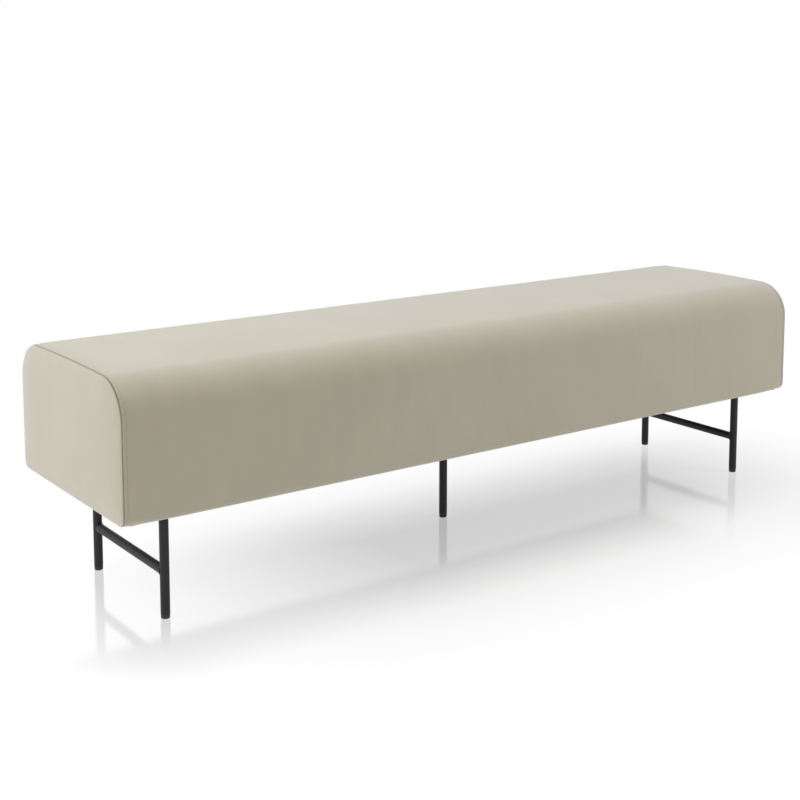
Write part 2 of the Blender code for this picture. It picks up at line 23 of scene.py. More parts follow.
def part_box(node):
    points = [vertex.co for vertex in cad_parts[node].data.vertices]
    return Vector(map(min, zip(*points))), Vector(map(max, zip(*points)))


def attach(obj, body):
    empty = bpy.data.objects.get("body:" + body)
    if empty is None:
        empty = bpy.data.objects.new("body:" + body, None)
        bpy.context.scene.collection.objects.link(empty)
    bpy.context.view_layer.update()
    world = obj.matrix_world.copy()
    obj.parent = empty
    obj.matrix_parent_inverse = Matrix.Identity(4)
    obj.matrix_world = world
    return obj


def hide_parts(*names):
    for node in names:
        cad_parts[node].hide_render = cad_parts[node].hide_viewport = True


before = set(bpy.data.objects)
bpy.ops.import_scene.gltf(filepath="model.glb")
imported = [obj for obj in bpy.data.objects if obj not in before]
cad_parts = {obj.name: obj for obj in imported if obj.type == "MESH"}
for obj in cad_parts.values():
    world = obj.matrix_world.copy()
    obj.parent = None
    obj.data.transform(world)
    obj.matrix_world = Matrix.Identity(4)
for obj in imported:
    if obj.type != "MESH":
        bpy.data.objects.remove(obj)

Array = np.ndarray
Piece = bpy.types.Object
Material = bpy.types.Material
Socket = bpy.types.NodeSocket
Pair = tuple[float, float]
Point = tuple[float, float, float]
Window = tuple[Vector, Vector]

BODY = "root"
CLOTH_UV = "cloth"
# The mesh attribute of painted shade: how much the cloth is darkened in its seam and topstitch
# grooves
SEAM_SHADE = "seam_shade"
QUARTER_TURN = math.pi / 2
FULL_TURN = 2 * math.pi
SAME_PLACE = 0.00002
FACING = 0.9
EVEN = (1.0, 1.0, 1.0)
WHITE = (1.0, 1.0, 1.0)
# The mix node's colours share their names with its numbers, so they go by place
FIRST_COLOUR, SECOND_COLOUR, MIXED_COLOUR = 6, 7, 2
logger = logging.getLogger("bench")


class End(Enum):
    """An end of the bench, with the sign of its X."""

    LEFT = -1
    RIGHT = 1

    @property
    def label(self) -> str:
        """The end's name as the nodes write it."""
        return self.name.lower()


class Row(Enum):
    """A row of legs, with the sign of its Y."""

    FRONT = -1
    REAR = 1


class Slot(Enum):
    """The material slots, by name."""

    COVER = "cover_cloth"
    DUST_CLOTH = "dust_cloth"
    FOAM = "foam"
    PLYWOOD = "plywood"
    HARDWOOD = "hardwood"
    STEEL = "black_steel"
    NYLON = "black_nylon"
    ZINC = "zinc_plate"


class Axis(Enum):
    """An axis of the frame, by its place in a vector."""

    X = 0
    Y = 1
    Z = 2


# Helpers


def select_only(piece: Piece) -> None:
    """Select one object and make it the active one.

    Args:
        piece: the object to work on.
    """
    bpy.ops.object.select_all(action="DESELECT")
    piece.select_set(True)
    bpy.context.view_layer.objects.active = piece


def add_object(name: str, data: bpy.types.ID) -> Piece:
    """Link a mesh, curve, lamp or camera to the scene as an object at the origin.

    Args:
        name: the object's name.
        data: what it holds.

    Returns:
        The new object.
    """
    piece = bpy.data.objects.new(name, data)
    bpy.context.scene.collection.objects.link(piece)
    return piece


def apply_modifiers(piece: Piece) -> None:
    """Make the modifiers of a piece part of its mesh, in their order.

    Args:
        piece: the object.
    """
    select_only(piece)
    for modifier in list(piece.modifiers):
        bpy.ops.object.modifier_apply(modifier=modifier.name)


def start_from(operator: Callable, scale: Sequence[float] = EVEN, **settings: object) -> Piece:
    """Add a primitive to model a piece from, its place and size moved into its mesh.

    Args:
        operator: what adds the primitive.
        scale: its size along each axis.
        settings: the operator's own.

    Returns:
        The piece, selected and at the origin.
    """
    bpy.ops.object.select_all(action="DESELECT")
    operator(**settings)
    bpy.context.active_object.scale = scale
    bpy.ops.object.transform_apply(location=True, rotation=True, scale=True)
    return bpy.context.active_object


@contextmanager
def editing(piece: Piece) -> Iterator[None]:
    """Have a piece in edit mode for a while.

    Args:
        piece: the object to edit.
    """
    select_only(piece)
    bpy.ops.object.mode_set(mode="EDIT")
    yield
    bpy.ops.object.mode_set(mode="OBJECT")


def select_in_edit(piece: Piece, mode: str, wanted: Callable[[Vector, Vector], bool]) -> None:
    """Select the faces or points of a mesh in edit mode by their place and normal.

    Args:
        piece: the object in edit mode.
        mode: FACE or VERT.
        wanted: says from a middle and a normal whether an item is selected.
    """
    bpy.ops.mesh.select_mode(type=mode)
    bpy.ops.mesh.select_all(action="DESELECT")
    bm = bmesh.from_edit_mesh(piece.data)
    for item in bm.faces if mode == "FACE" else bm.verts:
        middle = item.calc_center_median() if mode == "FACE" else item.co
        item.select_set(wanted(middle, item.normal))
    bm.select_flush_mode()
    bmesh.update_edit_mesh(piece.data)


def extrude(*move: float) -> None:
    """Extrude what is selected in edit mode."""
    bpy.ops.mesh.extrude_region_move(TRANSFORM_OT_translate={"value": move})


def merge_points(piece: Piece) -> None:
    """Let a modifier join the points of a piece that lie at one place."""
    piece.modifiers.new("merge", "WELD").merge_threshold = SAME_PLACE


def thicken(piece: Piece, thickness: float) -> BVHTree:
    """Give an open surface its thickness, inwards.

    Args:
        piece: the surface, its faces outwards.
        thickness: how thick it becomes.

    Returns:
        The open surface, to look places up on.
    """
    points = [vertex.co.copy() for vertex in piece.data.vertices]
    surface = BVHTree.FromPolygons(points, [tuple(face.vertices) for face in piece.data.polygons])
    solidify = piece.modifiers.new("thickness", "SOLIDIFY")
    solidify.thickness = thickness
    solidify.offset = -1
    solidify.use_even_offset = True
    apply_modifiers(piece)
    return surface


def tuck_under(pad: Piece, surface: BVHTree, depth: float, reach: float) -> None:
    """Press a pad's skin down to a depth under a cloth, where it stands higher.

    Args:
        pad: the pad.
        surface: the cloth's outer surface.
        depth: how far under it the pad's skin may come.
        reach: how near the cloth a point must be for the cloth to press it down.
    """
    for vertex in pad.data.vertices:
        place, normal, _, _ = surface.find_nearest(vertex.co, reach)
        if place is not None:
            vertex.co -= normal * max((vertex.co - place).dot(normal) + depth, 0.0)
    pad.data.update()


def hand_over(piece: Piece, material: Material) -> None:
    """Dress a new piece and let it ride on the bench.

    Args:
        piece: the finished piece.
        material: its finish.
    """
    piece.data.materials.clear()
    piece.data.materials.append(material)
    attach(piece, BODY)
    logger.info("%s: %d faces", piece.name, len(piece.data.polygons))


def copies_joined(name: str, original: Piece, places: Iterable[Matrix]) -> Piece:
    """Copy a small shape to many places and join the copies into one piece.

    Args:
        name: the joined piece's name.
        original: the shape, modelled once at the origin, which is removed.
        places: where each copy goes.

    Returns:
        The joined piece.
    """
    bpy.ops.object.select_all(action="DESELECT")
    copies = []
    for place in places:
        mesh = original.data.copy()
        mesh.transform(place)
        copies.append(add_object(name, mesh))
        copies[-1].select_set(True)
    joined = copies[0]
    bpy.context.view_layer.objects.active = joined
    bpy.ops.object.join()
    bpy.data.objects.remove(original, do_unlink=True)
    joined.name = joined.data.name = name
    return joined


def grid_mesh(
    name: str, places: Array, flat: Array, seam_shade: Array | None = None, closed: bool = False
) -> bpy.types.Mesh:
    """Make a mesh of quads from rows of points, with a UV map in metres of flat cloth.

    Args:
        name: the mesh's name.
        places: the points, by row and column.
        flat: each point's place on the flat cloth, by row and column.
        seam_shade: how much painted shade darkens the cloth at each point, by row and column.
        closed: whether the last column joins the first.

    Returns:
        The mesh, its faces on the side that row after row turns to the left.
    """
    number = np.arange(places[..., 0].size).reshape(places.shape[:2])
    if closed:
        number = np.concatenate([number, number[:, :1]], axis=1)
    corners = (number[:-1, :-1], number[1:, :-1], number[1:, 1:], number[:-1, 1:])
    faces = np.stack(corners, axis=-1).reshape(-1, 4)
    mesh = bpy.data.meshes.new(name)
    mesh.from_pydata(places.reshape(-1, 3).tolist(), [], faces.tolist())
    layer = mesh.uv_layers.new(name=CLOTH_UV)
    corner_points = np.empty(len(mesh.loops), np.int32)
    mesh.loops.foreach_get("vertex_index", corner_points)
    layer.data.foreach_set("uv", flat.reshape(-1, 2)[corner_points].astype(np.float32).ravel())
    if seam_shade is not None:
        values = mesh.attributes.new(SEAM_SHADE, "FLOAT", "POINT")
        values.data.foreach_set("value", seam_shade.astype(np.float32).ravel())
    mesh.shade_smooth()
    mesh.update()
    return mesh


def smooth_step(value: Array | float) -> Array | float:
    """A smooth ramp from 0 to 1 as the value goes from 0 to 1."""
    share = np.clip(value, 0.0, 1.0)
    return share * share * (3.0 - 2.0 * share)


def noise_at(x: Array | float, y: Array | float, z: float) -> Array:
    """The value of a noise at many places."""
    spots = np.broadcast(x, y, z)
    return np.array([noise.noise(spot) for spot in spots]).reshape(spots.shape)


def run_along(line: Array) -> Array:
    """How far along a line each of its points lies."""
    steps = np.linalg.norm(np.diff(line, axis=0), axis=1)
    return np.concatenate([[0.0], np.cumsum(steps)])


def outward(outline: Array) -> Array:
    """Unit (y, z) vectors that point out of an outline which runs from the front over the top."""
    facing = np.gradient(outline, axis=0) @ ((0.0, 1.0), (-1.0, 0.0))
    return facing / np.linalg.norm(facing, axis=1, keepdims=True)


def eased(at: Array, knots: Array, values: Array) -> Array:
    """Read rows of values between given rows, along smooth curves.

    Args:
        at: where values are wanted.
        knots: where they are known, rising.
        values: the known rows.

    Returns:
        The row at each place.
    """
    slopes = np.gradient(values, knots, axis=0)
    left = np.clip(np.searchsorted(knots, at, side="right") - 1, 0, len(knots) - 2)
    shape = (-1,) + (1,) * (values.ndim - 1)
    width = (knots[left + 1] - knots[left]).reshape(shape)
    share = (at - knots[left]).reshape(shape) / width
    to_right = smooth_step(share)
    found = values[left] * (1.0 - to_right) + values[left + 1] * to_right
    found += slopes[left] * width * share * (1.0 - share) ** 2
    return found - slopes[left + 1] * width * share**2 * (1.0 - share)


# Finishes


@dataclass(frozen=True)
class Ramp:
    """A range of a value, and what its ends become."""

    low: float
    high: float
    to_low: float = 0.0
    to_high: float = 1.0


class Recipe:
    """The nodes of a material or a world in the making."""

    def __init__(self, owner: Material | bpy.types.World) -> None:
        """Start with the nodes that a new material or world has."""
        owner.use_nodes = True
        self.tree = owner.node_tree

    def node(self, kind: str, inputs: dict | None = None, **settings: object) -> bpy.types.Node:
        """Add a node.

        Args:
            kind: the node's type, without what all of them start with.
            inputs: values, or sockets of other nodes, by input name or number.
            settings: the node's own settings.

        Returns:
            The node.
        """
        made = self.tree.nodes.new("ShaderNode" + kind)
        for key, value in settings.items():
            setattr(made, key, value)
        self.feed(made, inputs or {})
        return made

    def feed(self, node: bpy.types.Node, inputs: dict) -> None:
        """Set inputs of a node or link them.

        Args:
            node: the node.
            inputs: values, or sockets of other nodes, by input name or number.
        """
        for key, value in inputs.items():
            socket = node.inputs[key]
            if isinstance(value, Socket):
                self.tree.links.new(value, socket)
            else:
                socket.default_value = (*value, 1.0) if socket.type == "RGBA" else value

    def places(self, stretch: Point = EVEN, on_cloth: bool = False) -> Socket:
        """Places in metres on the object or on the flat cloth.

        Args:
            stretch: how many times finer a pattern gets along each axis.
            on_cloth: whether they are the flat cloth's.

        Returns:
            The vector socket.
        """
        if on_cloth:
            source = self.node("UVMap", uv_map=CLOTH_UV).outputs["UV"]
        else:
            source = self.node("TexCoord").outputs["Object"]
        return self.node("Mapping", {"Vector": source, "Scale": stretch}).outputs["Vector"]

    def parts(self) -> Sequence[Socket]:
        """The three parts of a place on the object, in metres."""
        source = self.node("TexCoord").outputs["Object"]
        return self.node("SeparateXYZ", {"Vector": source}).outputs

    def spread(self, value: Socket, ramp: Ramp | None) -> Socket:
        """Read a value through a ramp, or as it is.

        Args:
            value: what is read.
            ramp: the ramp, if there is one.

        Returns:
            The value read.
        """
        if ramp is None:
            return value
        start = {"Value": value, "From Min": ramp.low, "From Max": ramp.high}
        ends = {"To Min": ramp.to_low, "To Max": ramp.to_high}
        return self.node("MapRange", start | ends).outputs["Result"]

    def blend(self, share: Socket, first: Socket | Point, second: Socket | Point) -> Socket:
        """Mix two colours, the share being how much of the second there is."""
        inputs = {"Factor": share, FIRST_COLOUR: first, SECOND_COLOUR: second}
        return self.node("Mix", inputs, data_type="RGBA").outputs[MIXED_COLOUR]

    def maths(self, operation: str, *values: Socket | float) -> Socket:
        """Do arithmetic on numbers and sockets."""
        return self.node("Math", dict(enumerate(values)), operation=operation).outputs[0]

    def mix_shaders(self, share: Socket, first: Socket, second: Socket) -> Socket:
        """Mix two shaders, the share being how much of the second there is."""
        return self.node("MixShader", {0: share, 1: first, 2: second}).outputs["Shader"]

    def seen(self) -> Socket:
        """Whether the camera sees a place, straight or in or through something.

        Returns:
            One where it does, else zero.
        """
        path = self.node("LightPath").outputs
        bent = self.maths("ADD", path["Is Glossy Ray"], path["Is Transmission Ray"])
        return self.maths("MINIMUM", 1.0, self.maths("ADD", path["Is Camera Ray"], bent))


@dataclass(frozen=True)
class Pattern:
    """A texture: its node, its inputs and settings, and where it is read."""

    kind: str
    inputs: dict[str, float]
    settings: dict[str, str] = field(default_factory=dict)
    stretch: Point = EVEN
    on_cloth: bool = False
    output: str = "Fac"

    def read(self, recipe: Recipe) -> Socket:
        """Add the texture and give its value."""
        inputs = {"Vector": recipe.places(self.stretch, self.on_cloth)} | self.inputs
        return recipe.node(self.kind, inputs, **self.settings).outputs[self.output]


def cloud(scale: float, detail: float = 3.0, rough: float = 0.5, **rest: object) -> Pattern:
    """A noise of so many features to the metre, with finer layers of some strength."""
    return Pattern("TexNoise", {"Scale": scale, "Detail": detail, "Roughness": rough}, **rest)


def waves(scale: float, distortion: float, along: str = "X", **rest: object) -> Pattern:
    """Bands of a scale along an axis, distorted somewhat."""
    inputs = {"Scale": scale, "Distortion": distortion}
    return Pattern("TexWave", inputs, {"bands_direction": along}, **rest)


def cells(scale: float, randomness: float = 1.0) -> Pattern:
    """The distance to the middles of cells, so many to the metre."""
    return Pattern("TexVoronoi", {"Scale": scale, "Randomness": randomness}, output="Distance")


@dataclass(frozen=True)
class Reading:
    """A pattern by its name, and the ramp that it is read through."""

    pattern: str
    ramp: Ramp | None = None


@dataclass(frozen=True)
class Layer:
    """A colour over the ones below it where a pattern is high, perhaps fading with height."""

    pattern: str
    colour: Point
    ramp: Ramp | None = None
    by_height: Ramp | None = None


@dataclass(frozen=True)
class Relief:
    """A pattern raised on the surface: how far it stands out, and how strongly it shows."""

    pattern: str
    depth: float
    strength: float = 1.0
    ramp: Ramp | None = None


@dataclass(frozen=True)
class Finish:
    """A material made from patterns: a colour under layers, a relief and the shader's inputs."""

    name: str
    colour: Point
    patterns: dict[str, Pattern]
    layers: tuple[Layer, ...]
    reliefs: tuple[Relief, ...]
    inputs: dict[str, object]

    def read(self, recipe: Recipe) -> dict[str, Socket]:
        """The patterns' values by name."""
        return {name: pattern.read(recipe) for name, pattern in self.patterns.items()}

    def paint(self, recipe: Recipe, found: dict[str, Socket]) -> Socket:
        """Lay the colours over each other.

        Args:
            recipe: the material in the making.
            found: the patterns' values.

        Returns:
            The colour.
        """
        colour = self.colour
        for layer in self.layers:
            share = recipe.spread(found[layer.pattern], layer.ramp)
            if layer.by_height:
                fade = recipe.spread(recipe.parts()["Z"], layer.by_height)
                share = recipe.maths("MULTIPLY", share, fade)
            colour = recipe.blend(share, colour, layer.colour)
        return colour

    def make(self) -> Material:
        """Build the material.

        Returns:
            The material.
        """
        material = bpy.data.materials.new(self.name)
        recipe = Recipe(material)
        found = self.read(recipe)
        inputs = {"Base Color": self.paint(recipe, found)} | self.inputs
        for key, value in self.inputs.items():
            if isinstance(value, Reading):
                inputs[key] = recipe.spread(found[value.pattern], value.ramp)
        normal = {}
        for relief in self.reliefs:
            height = recipe.spread(found[relief.pattern], relief.ramp)
            raised = {"Height": height, "Distance": relief.depth, "Strength": relief.strength}
            normal = {"Normal": recipe.node("Bump", raised | normal).outputs["Normal"]}
        recipe.feed(recipe.tree.nodes["Principled BSDF"], inputs | normal)
        return material


@dataclass(frozen=True)
class Velvet(Finish):
    """Velvet whose nap leans a little unevenly, darkened by painted shade where the mesh says so.
    """

    patch_share: float = 0.65
    lean: Ramp = Ramp(0.36, 0.64)

    def read(self, recipe: Recipe) -> dict[str, Socket]:
        """The patterns' values, the nap's lean and the painted shade in the seams.

        Args:
            recipe: the material in the making.

        Returns:
            The values by name.
        """
        found = super().read(recipe)
        patches = recipe.maths("MULTIPLY", found["patches"], self.patch_share)
        streak_share = 1.0 - self.patch_share
        lie = recipe.maths("MULTIPLY_ADD", found["streaks"], streak_share, patches)
        found["lean"] = recipe.spread(lie, self.lean)
        # Painted shade in the seam and topstitch grooves, as the mesh gives it
        found["seam_shade"] = recipe.node("Attribute", attribute_name=SEAM_SHADE).outputs["Fac"]
        return found


@dataclass(frozen=True)
class Plywood(Finish):
    """Plywood: long grain on its faces and glued layers on the edges of its boards."""

    through: Axis
    glue: Point = (0.30, 0.19, 0.10)
    bands: Ramp = Ramp(0.25, 0.75)
    flat_on: Ramp = Ramp(0.6, 0.7)

    def paint(self, recipe: Recipe, found: dict[str, Socket]) -> Socket:
        """Paint the faces with their grain and the edges with their layers.

        Args:
            recipe: the material in the making.
            found: the patterns' values.

        Returns:
            The colour.
        """
        edge = recipe.blend(recipe.spread(found["bands"], self.bands), self.glue, self.colour)
        normal = recipe.node("NewGeometry").outputs["Normal"]
        parts = recipe.node("SeparateXYZ", {"Vector": normal}).outputs
        flat_on = recipe.maths("ABSOLUTE", parts[self.through.value])
        face = super().paint(recipe, found)
        return recipe.blend(recipe.spread(flat_on, self.flat_on), edge, face)


# Short-pile upholstery velvet
VELVET = Velvet(
    name="greige_velvet",
    colour=(0.492, 0.441, 0.327),
    patterns={
        "patches": cloud(7.0, 4.0, 0.55, stretch=(1.0, 0.6, 1.0), on_cloth=True),
        "streaks": cloud(34.0, 3.0, 0.6, stretch=(1.0, 0.25, 1.0), on_cloth=True),
        "grain": cloud(1500.0, 2.0, 0.7, stretch=(1.0, 0.55, 1.0), on_cloth=True),
        "backing": waves(520.0, 1.4, on_cloth=True),
    },
    layers=(
        Layer("lean", (0.532, 0.478, 0.356)),
        Layer("grain", (0.30504, 0.27342, 0.20274), Ramp(0.3, 0.7, 0.0, 0.16)),
        # Painted shade: the cloth darkens towards this colour in its seam and topstitch grooves
        Layer("seam_shade", (0.16, 0.135, 0.09)),
    ),
    reliefs=(
        Relief("patches", 0.0010, 0.5),
        Relief("backing", 0.00012, 0.35),
        Relief("grain", 0.00035, 0.5),
    ),
    inputs={
        "Roughness": Reading("lean", Ramp(0.0, 1.0, 0.92, 0.84)),
        "Sheen Weight": 0.92,
        "Sheen Roughness": 0.6,
        "Sheen Tint": (1.0, 0.99, 0.95),
        "Specular IOR Level": 0.25,
    },
)

# Twisted polyester thread in the cloth's colour, its darker base colour painted shade in the
# grooves between the twists
THREAD = Finish(
    name="greige_thread",
    colour=(0.27, 0.245, 0.19),
    patterns={"twist": waves(1400.0, 0.6, "DIAGONAL")},
    layers=(Layer("twist", (0.46, 0.42, 0.33)),),
    reliefs=(Relief("twist", 0.00008),),
    inputs={"Roughness": 0.6, "Sheen Weight": 0.2},
)

# Open-cell seat foam
FOAM = Finish(
    name="cream_foam",
    colour=(0.80, 0.73, 0.53),
    patterns={"cells": cells(850.0), "cloud": cloud(22.0, 4.0, 0.6)},
    layers=(
        Layer("cloud", (0.66, 0.58, 0.38), Ramp(0.3, 0.7, 0.0, 0.5)),
        # Painted shade: darker towards the middles of the cells, in their hollows
        Layer("cells", (0.66, 0.58, 0.38), Ramp(0.1, 0.6, 0.35, 0.0)),
    ),
    reliefs=(Relief("cells", 0.0004, 0.7),),
    inputs={"Roughness": 0.95, "Specular IOR Level": 0.2},
)

# Thin black felted dust cloth, bonded at pressed dots
FELTED_CLOTH = Finish(
    name="black_dust_cloth",
    colour=(0.030, 0.030, 0.032),
    patterns={
        "fibres": cloud(900.0, 5.0, 0.75, stretch=(1.0, 3.0, 1.0)),
        "dots": cells(380.0, 0.15),
    },
    layers=(
        Layer("fibres", (0.070, 0.070, 0.074), Ramp(0.35, 0.7)),
        Layer("dots", (0.030, 0.030, 0.032), Ramp(0.15, 0.45, 1.0, 0.0)),
    ),
    reliefs=(
        Relief("dots", 0.0003, 0.6, Ramp(0.15, 0.45)),
        Relief("fibres", 0.0002, 0.6),
    ),
    inputs={"Roughness": 0.92, "Specular IOR Level": 0.3},
)

# Matt black nylon with the grain of its mould, rubbed at the foot
MOULDED_NYLON = Finish(
    name="black_nylon",
    colour=(0.028, 0.028, 0.028),
    patterns={"grain": cloud(1800.0, 2.0, 0.6), "scuffs": cloud(500.0, 4.0, 0.6)},
    layers=(
        Layer(
            "scuffs", (0.085, 0.083, 0.08), Ramp(0.4, 0.65, 0.2, 1.0), Ramp(0.0, 0.003, 1.0, 0.0)
        ),
    ),
    reliefs=(Relief("grain", 0.00006, 0.6),),
    inputs={"Roughness": Reading("scuffs", Ramp(0.3, 0.7, 0.5, 0.62))},
)

# Fine-textured black powder coat, scuffed a little towards the floor
POWDER_COAT = Finish(
    name="black_powder_coat",
    colour=(0.0235, 0.0232, 0.0229),
    patterns={
        "peel": cloud(1100.0, 3.0, 0.6),
        "cloud": cloud(40.0),
        "scuffs": cloud(260.0, 5.0, 0.65, stretch=(1.0, 1.0, 0.4)),
    },
    layers=(
        Layer("cloud", (0.031725, 0.03132, 0.030915), Ramp(0.3, 0.7, 0.0, 0.25)),
        Layer("scuffs", (0.055, 0.054, 0.053), Ramp(0.60, 0.72), Ramp(0.0, 0.07, 1.0, 0.15)),
    ),
    reliefs=(Relief("peel", 0.00008, 0.6),),
    inputs={
        "Roughness": Reading("cloud", Ramp(0.3, 0.7, 0.44, 0.54)),
        "Specular IOR Level": 0.3,
    },
)

# Bright zinc plating on small fixings
ZINC_PLATE = Finish(
    name="zinc_plate",
    colour=(0.62, 0.63, 0.65),
    patterns={"cloud": cloud(420.0, 4.0, 0.6), "fine": cloud(2600.0, 2.0)},
    layers=(Layer("cloud", (0.44, 0.44, 0.43), Ramp(0.35, 0.7)),),
    reliefs=(Relief("fine", 0.00003, 0.5),),
    inputs={"Metallic": 1.0, "Roughness": Reading("cloud", Ramp(0.3, 0.7, 0.28, 0.45))},
)


def beech(along: Axis) -> Finish:
    """Planed beech, its grain along one axis and flecked with short rays.

    Args:
        along: the grain's axis.

    Returns:
        The finish.
    """
    stretch = tuple(1.0 if axis is along else 16.0 for axis in Axis)
    return Finish(
        name=f"beech_{along.name.lower()}",
        colour=(0.60, 0.42, 0.27),
        patterns={
            "grain": cloud(7.0, 6.0, 0.6, stretch=stretch),
            "flecks": cloud(60.0, 2.0, stretch=stretch),
        },
        layers=(
            Layer("grain", (0.44, 0.28, 0.16), Ramp(0.32, 0.7)),
            Layer("flecks", (0.36, 0.21, 0.12), Ramp(0.62, 0.72, 0.0, 0.7)),
        ),
        reliefs=(Relief("grain", 0.0002, 0.4),),
        inputs={"Roughness": Reading("grain", Ramp(0.3, 0.7, 0.48, 0.62))},
    )


def birch_plywood(through: Axis) -> Finish:
    """Birch plywood for boards that are thin along one axis.

    Args:
        through: that axis.

    Returns:
        The finish.
    """
    stretch = (18.0, 1.2, 18.0) if through is Axis.X else (1.2, 18.0, 18.0)
    return Plywood(
        name=f"birch_plywood_{through.name.lower()}",
        colour=(0.66, 0.51, 0.33),
        patterns={
            "grain": cloud(9.0, 6.0, 0.62, stretch=stretch),
            "pores": cloud(70.0, 2.0, stretch=stretch),
            "bands": waves(115.0, 0.15, through.name),
        },
        layers=(Layer("grain", (0.50, 0.355, 0.20), Ramp(0.35, 0.68)),),
        reliefs=(Relief("pores", 0.00015, 0.5),),
        inputs={"Roughness": Reading("grain", Ramp(0.3, 0.7, 0.55, 0.7))},
        through=through,
    )


# The sewn cover


@dataclass(frozen=True)
class BlockForm:
    """The upholstered block's outline and how its seams draw it in.

    A pair of values is one for the sides and one for the top. The roll has the distance from
    the seam and the depth of each step in which the cut edge of the cloth rolls into it.
    """

    half_depth: float
    underside: float
    seat_height: float
    seam_x: float
    end_x: float
    turn_under: float
    top_radius: float = 0.075
    low_radius: float = 0.010
    top_crown: float = 0.002
    seam_draw: float = 0.0025
    seam_reach: float = 0.035
    draw_power: float = 2.4
    stitch_reach: float = 0.007
    stitch_ridge: float = 0.0006
    crown_reach: float = 0.070
    crown_power: float = 1.7
    low_round: float = 0.008
    low_round_reach: float = 0.10
    groove: Pair = (0.75, 1.7)
    # Painted shade in the seam groove: how strong on the sides and on the top, and how far it
    # reaches
    crush: Pair = (0.25, 0.95)
    crush_reach: float = 0.0024
    fade_from: float = -0.9
    fade_over: float = 0.5
    roll: tuple[Pair, ...] = (
        (0.0, 0.0014), (0.0002, 0.0007), (0.0005, 0.0003), (0.0009, 0.00007), (0.0014, 0.0)
    )
    tightest_share: float = 0.20
    gap: float = 0.0003
    flap_steps: int = 5
    low_steps: int = 8
    side_steps: int = 24
    high_steps: int = 18
    top_steps: int = 40

    @classmethod
    def from_frame(cls) -> "BlockForm":
        """Read the block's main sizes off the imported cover.

        Returns:
            The form.
        """
        low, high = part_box("body_cover")
        end_low, end_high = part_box("end_cover_right")
        turned = high.x + cls.gap - end_low.x
        return cls(high.y, low.z, high.z, high.x, end_high.x, turned)

    def section(self, inset: float = 0.0, draw: float = 0.0, rounder: float = 0.0) -> Array:
        """The outline across the bench, from the front flap over the top to the rear flap.

        Args:
            inset: how far the outline is moved inwards.
            draw: the part of the inset that leaves the underside where it is.
            rounder: how much is added to the lower edges' radius.

        Returns:
            The (y, z) points.
        """
        depth = self.half_depth - inset
        base = self.underside + inset - draw
        edge_top = self.seat_height - self.top_crown - inset
        low = max(self.low_radius + rounder - inset, self.low_radius * self.tightest_share)
        high = max(self.top_radius - inset, self.top_radius * self.tightest_share)
        flap_y = min(self.half_depth - self.turn_under, depth - low)
        flap = np.linspace((-flap_y, base), (low - depth, base), self.flap_steps + 1)
        turn = np.linspace(0.0, QUARTER_TURN, self.low_steps + 1)[1:]
        low_y = low - depth - low * np.sin(turn)
        low_arc = np.stack([low_y, base + low * (1.0 - np.cos(turn))], axis=1)
        side = np.linspace(low_arc[-1], (-depth, edge_top - high), self.side_steps + 1)[1:]
        turn = np.linspace(0.0, QUARTER_TURN, self.high_steps + 1)[1:]
        high_y = high - depth - high * np.cos(turn)
        high_arc = np.stack([high_y, edge_top - high + high * np.sin(turn)], axis=1)
        front = np.concatenate([flap, low_arc, side, high_arc])
        share = np.linspace(-1.0, 1.0, self.top_steps + 1)[1:-1]
        top_z = edge_top + self.top_crown * (1.0 - share**2)
        top = np.stack([(depth - high) * share, top_z], axis=1)
        return np.concatenate([front, top, front[::-1] * (-1.0, 1.0)])

    def side_to_top(self, facing: Array, ends: Pair) -> Array:
        """A value that goes from the sides to the top, and fades out underneath."""
        fade = smooth_step((facing[:, 1] - self.fade_from) / self.fade_over)
        return (ends[0] + (ends[1] - ends[0]) * smooth_step(facing[:, 1])) * fade

    def rolled(self, outline: Array, distance: float) -> Array:
        """Roll the cloth's cut edge into the seam.

        Args:
            outline: the (y, z) points.
            distance: how far they are from the seam.

        Returns:
            The outline drawn in.
        """
        facing = outward(outline)
        depth = np.interp(distance, *np.transpose(self.roll))
        return outline - facing * (depth * self.side_to_top(facing, self.groove))[:, None]

    def seam_shade(self, facing: Array, distance: float) -> Array:
        """How much painted shade darkens the cloth at a distance from the seam."""
        return self.side_to_top(facing, self.crush) * max(1.0 - distance / self.crush_reach, 0.0)

    def drawn_in(self, distance: float) -> float:
        """How far the cover is drawn in at a distance from the seam."""
        share = min(distance / self.seam_reach, 1.0)
        return self.seam_draw * (1.0 - share) ** self.draw_power

    def rounder(self, distance: float) -> float:
        """What the seam's pull adds to the lower edges' radius at a distance from it."""
        return self.low_round * (1.0 - min(distance / self.low_round_reach, 1.0)) ** 2

    def crown(self, share: float) -> float:
        """How far an end panel stands out at a share of the crown's reach from its edge."""
        rise = (1.0 - (1.0 - share) ** self.crown_power) ** (1.0 / self.crown_power)
        return (self.end_x - self.seam_x) * rise


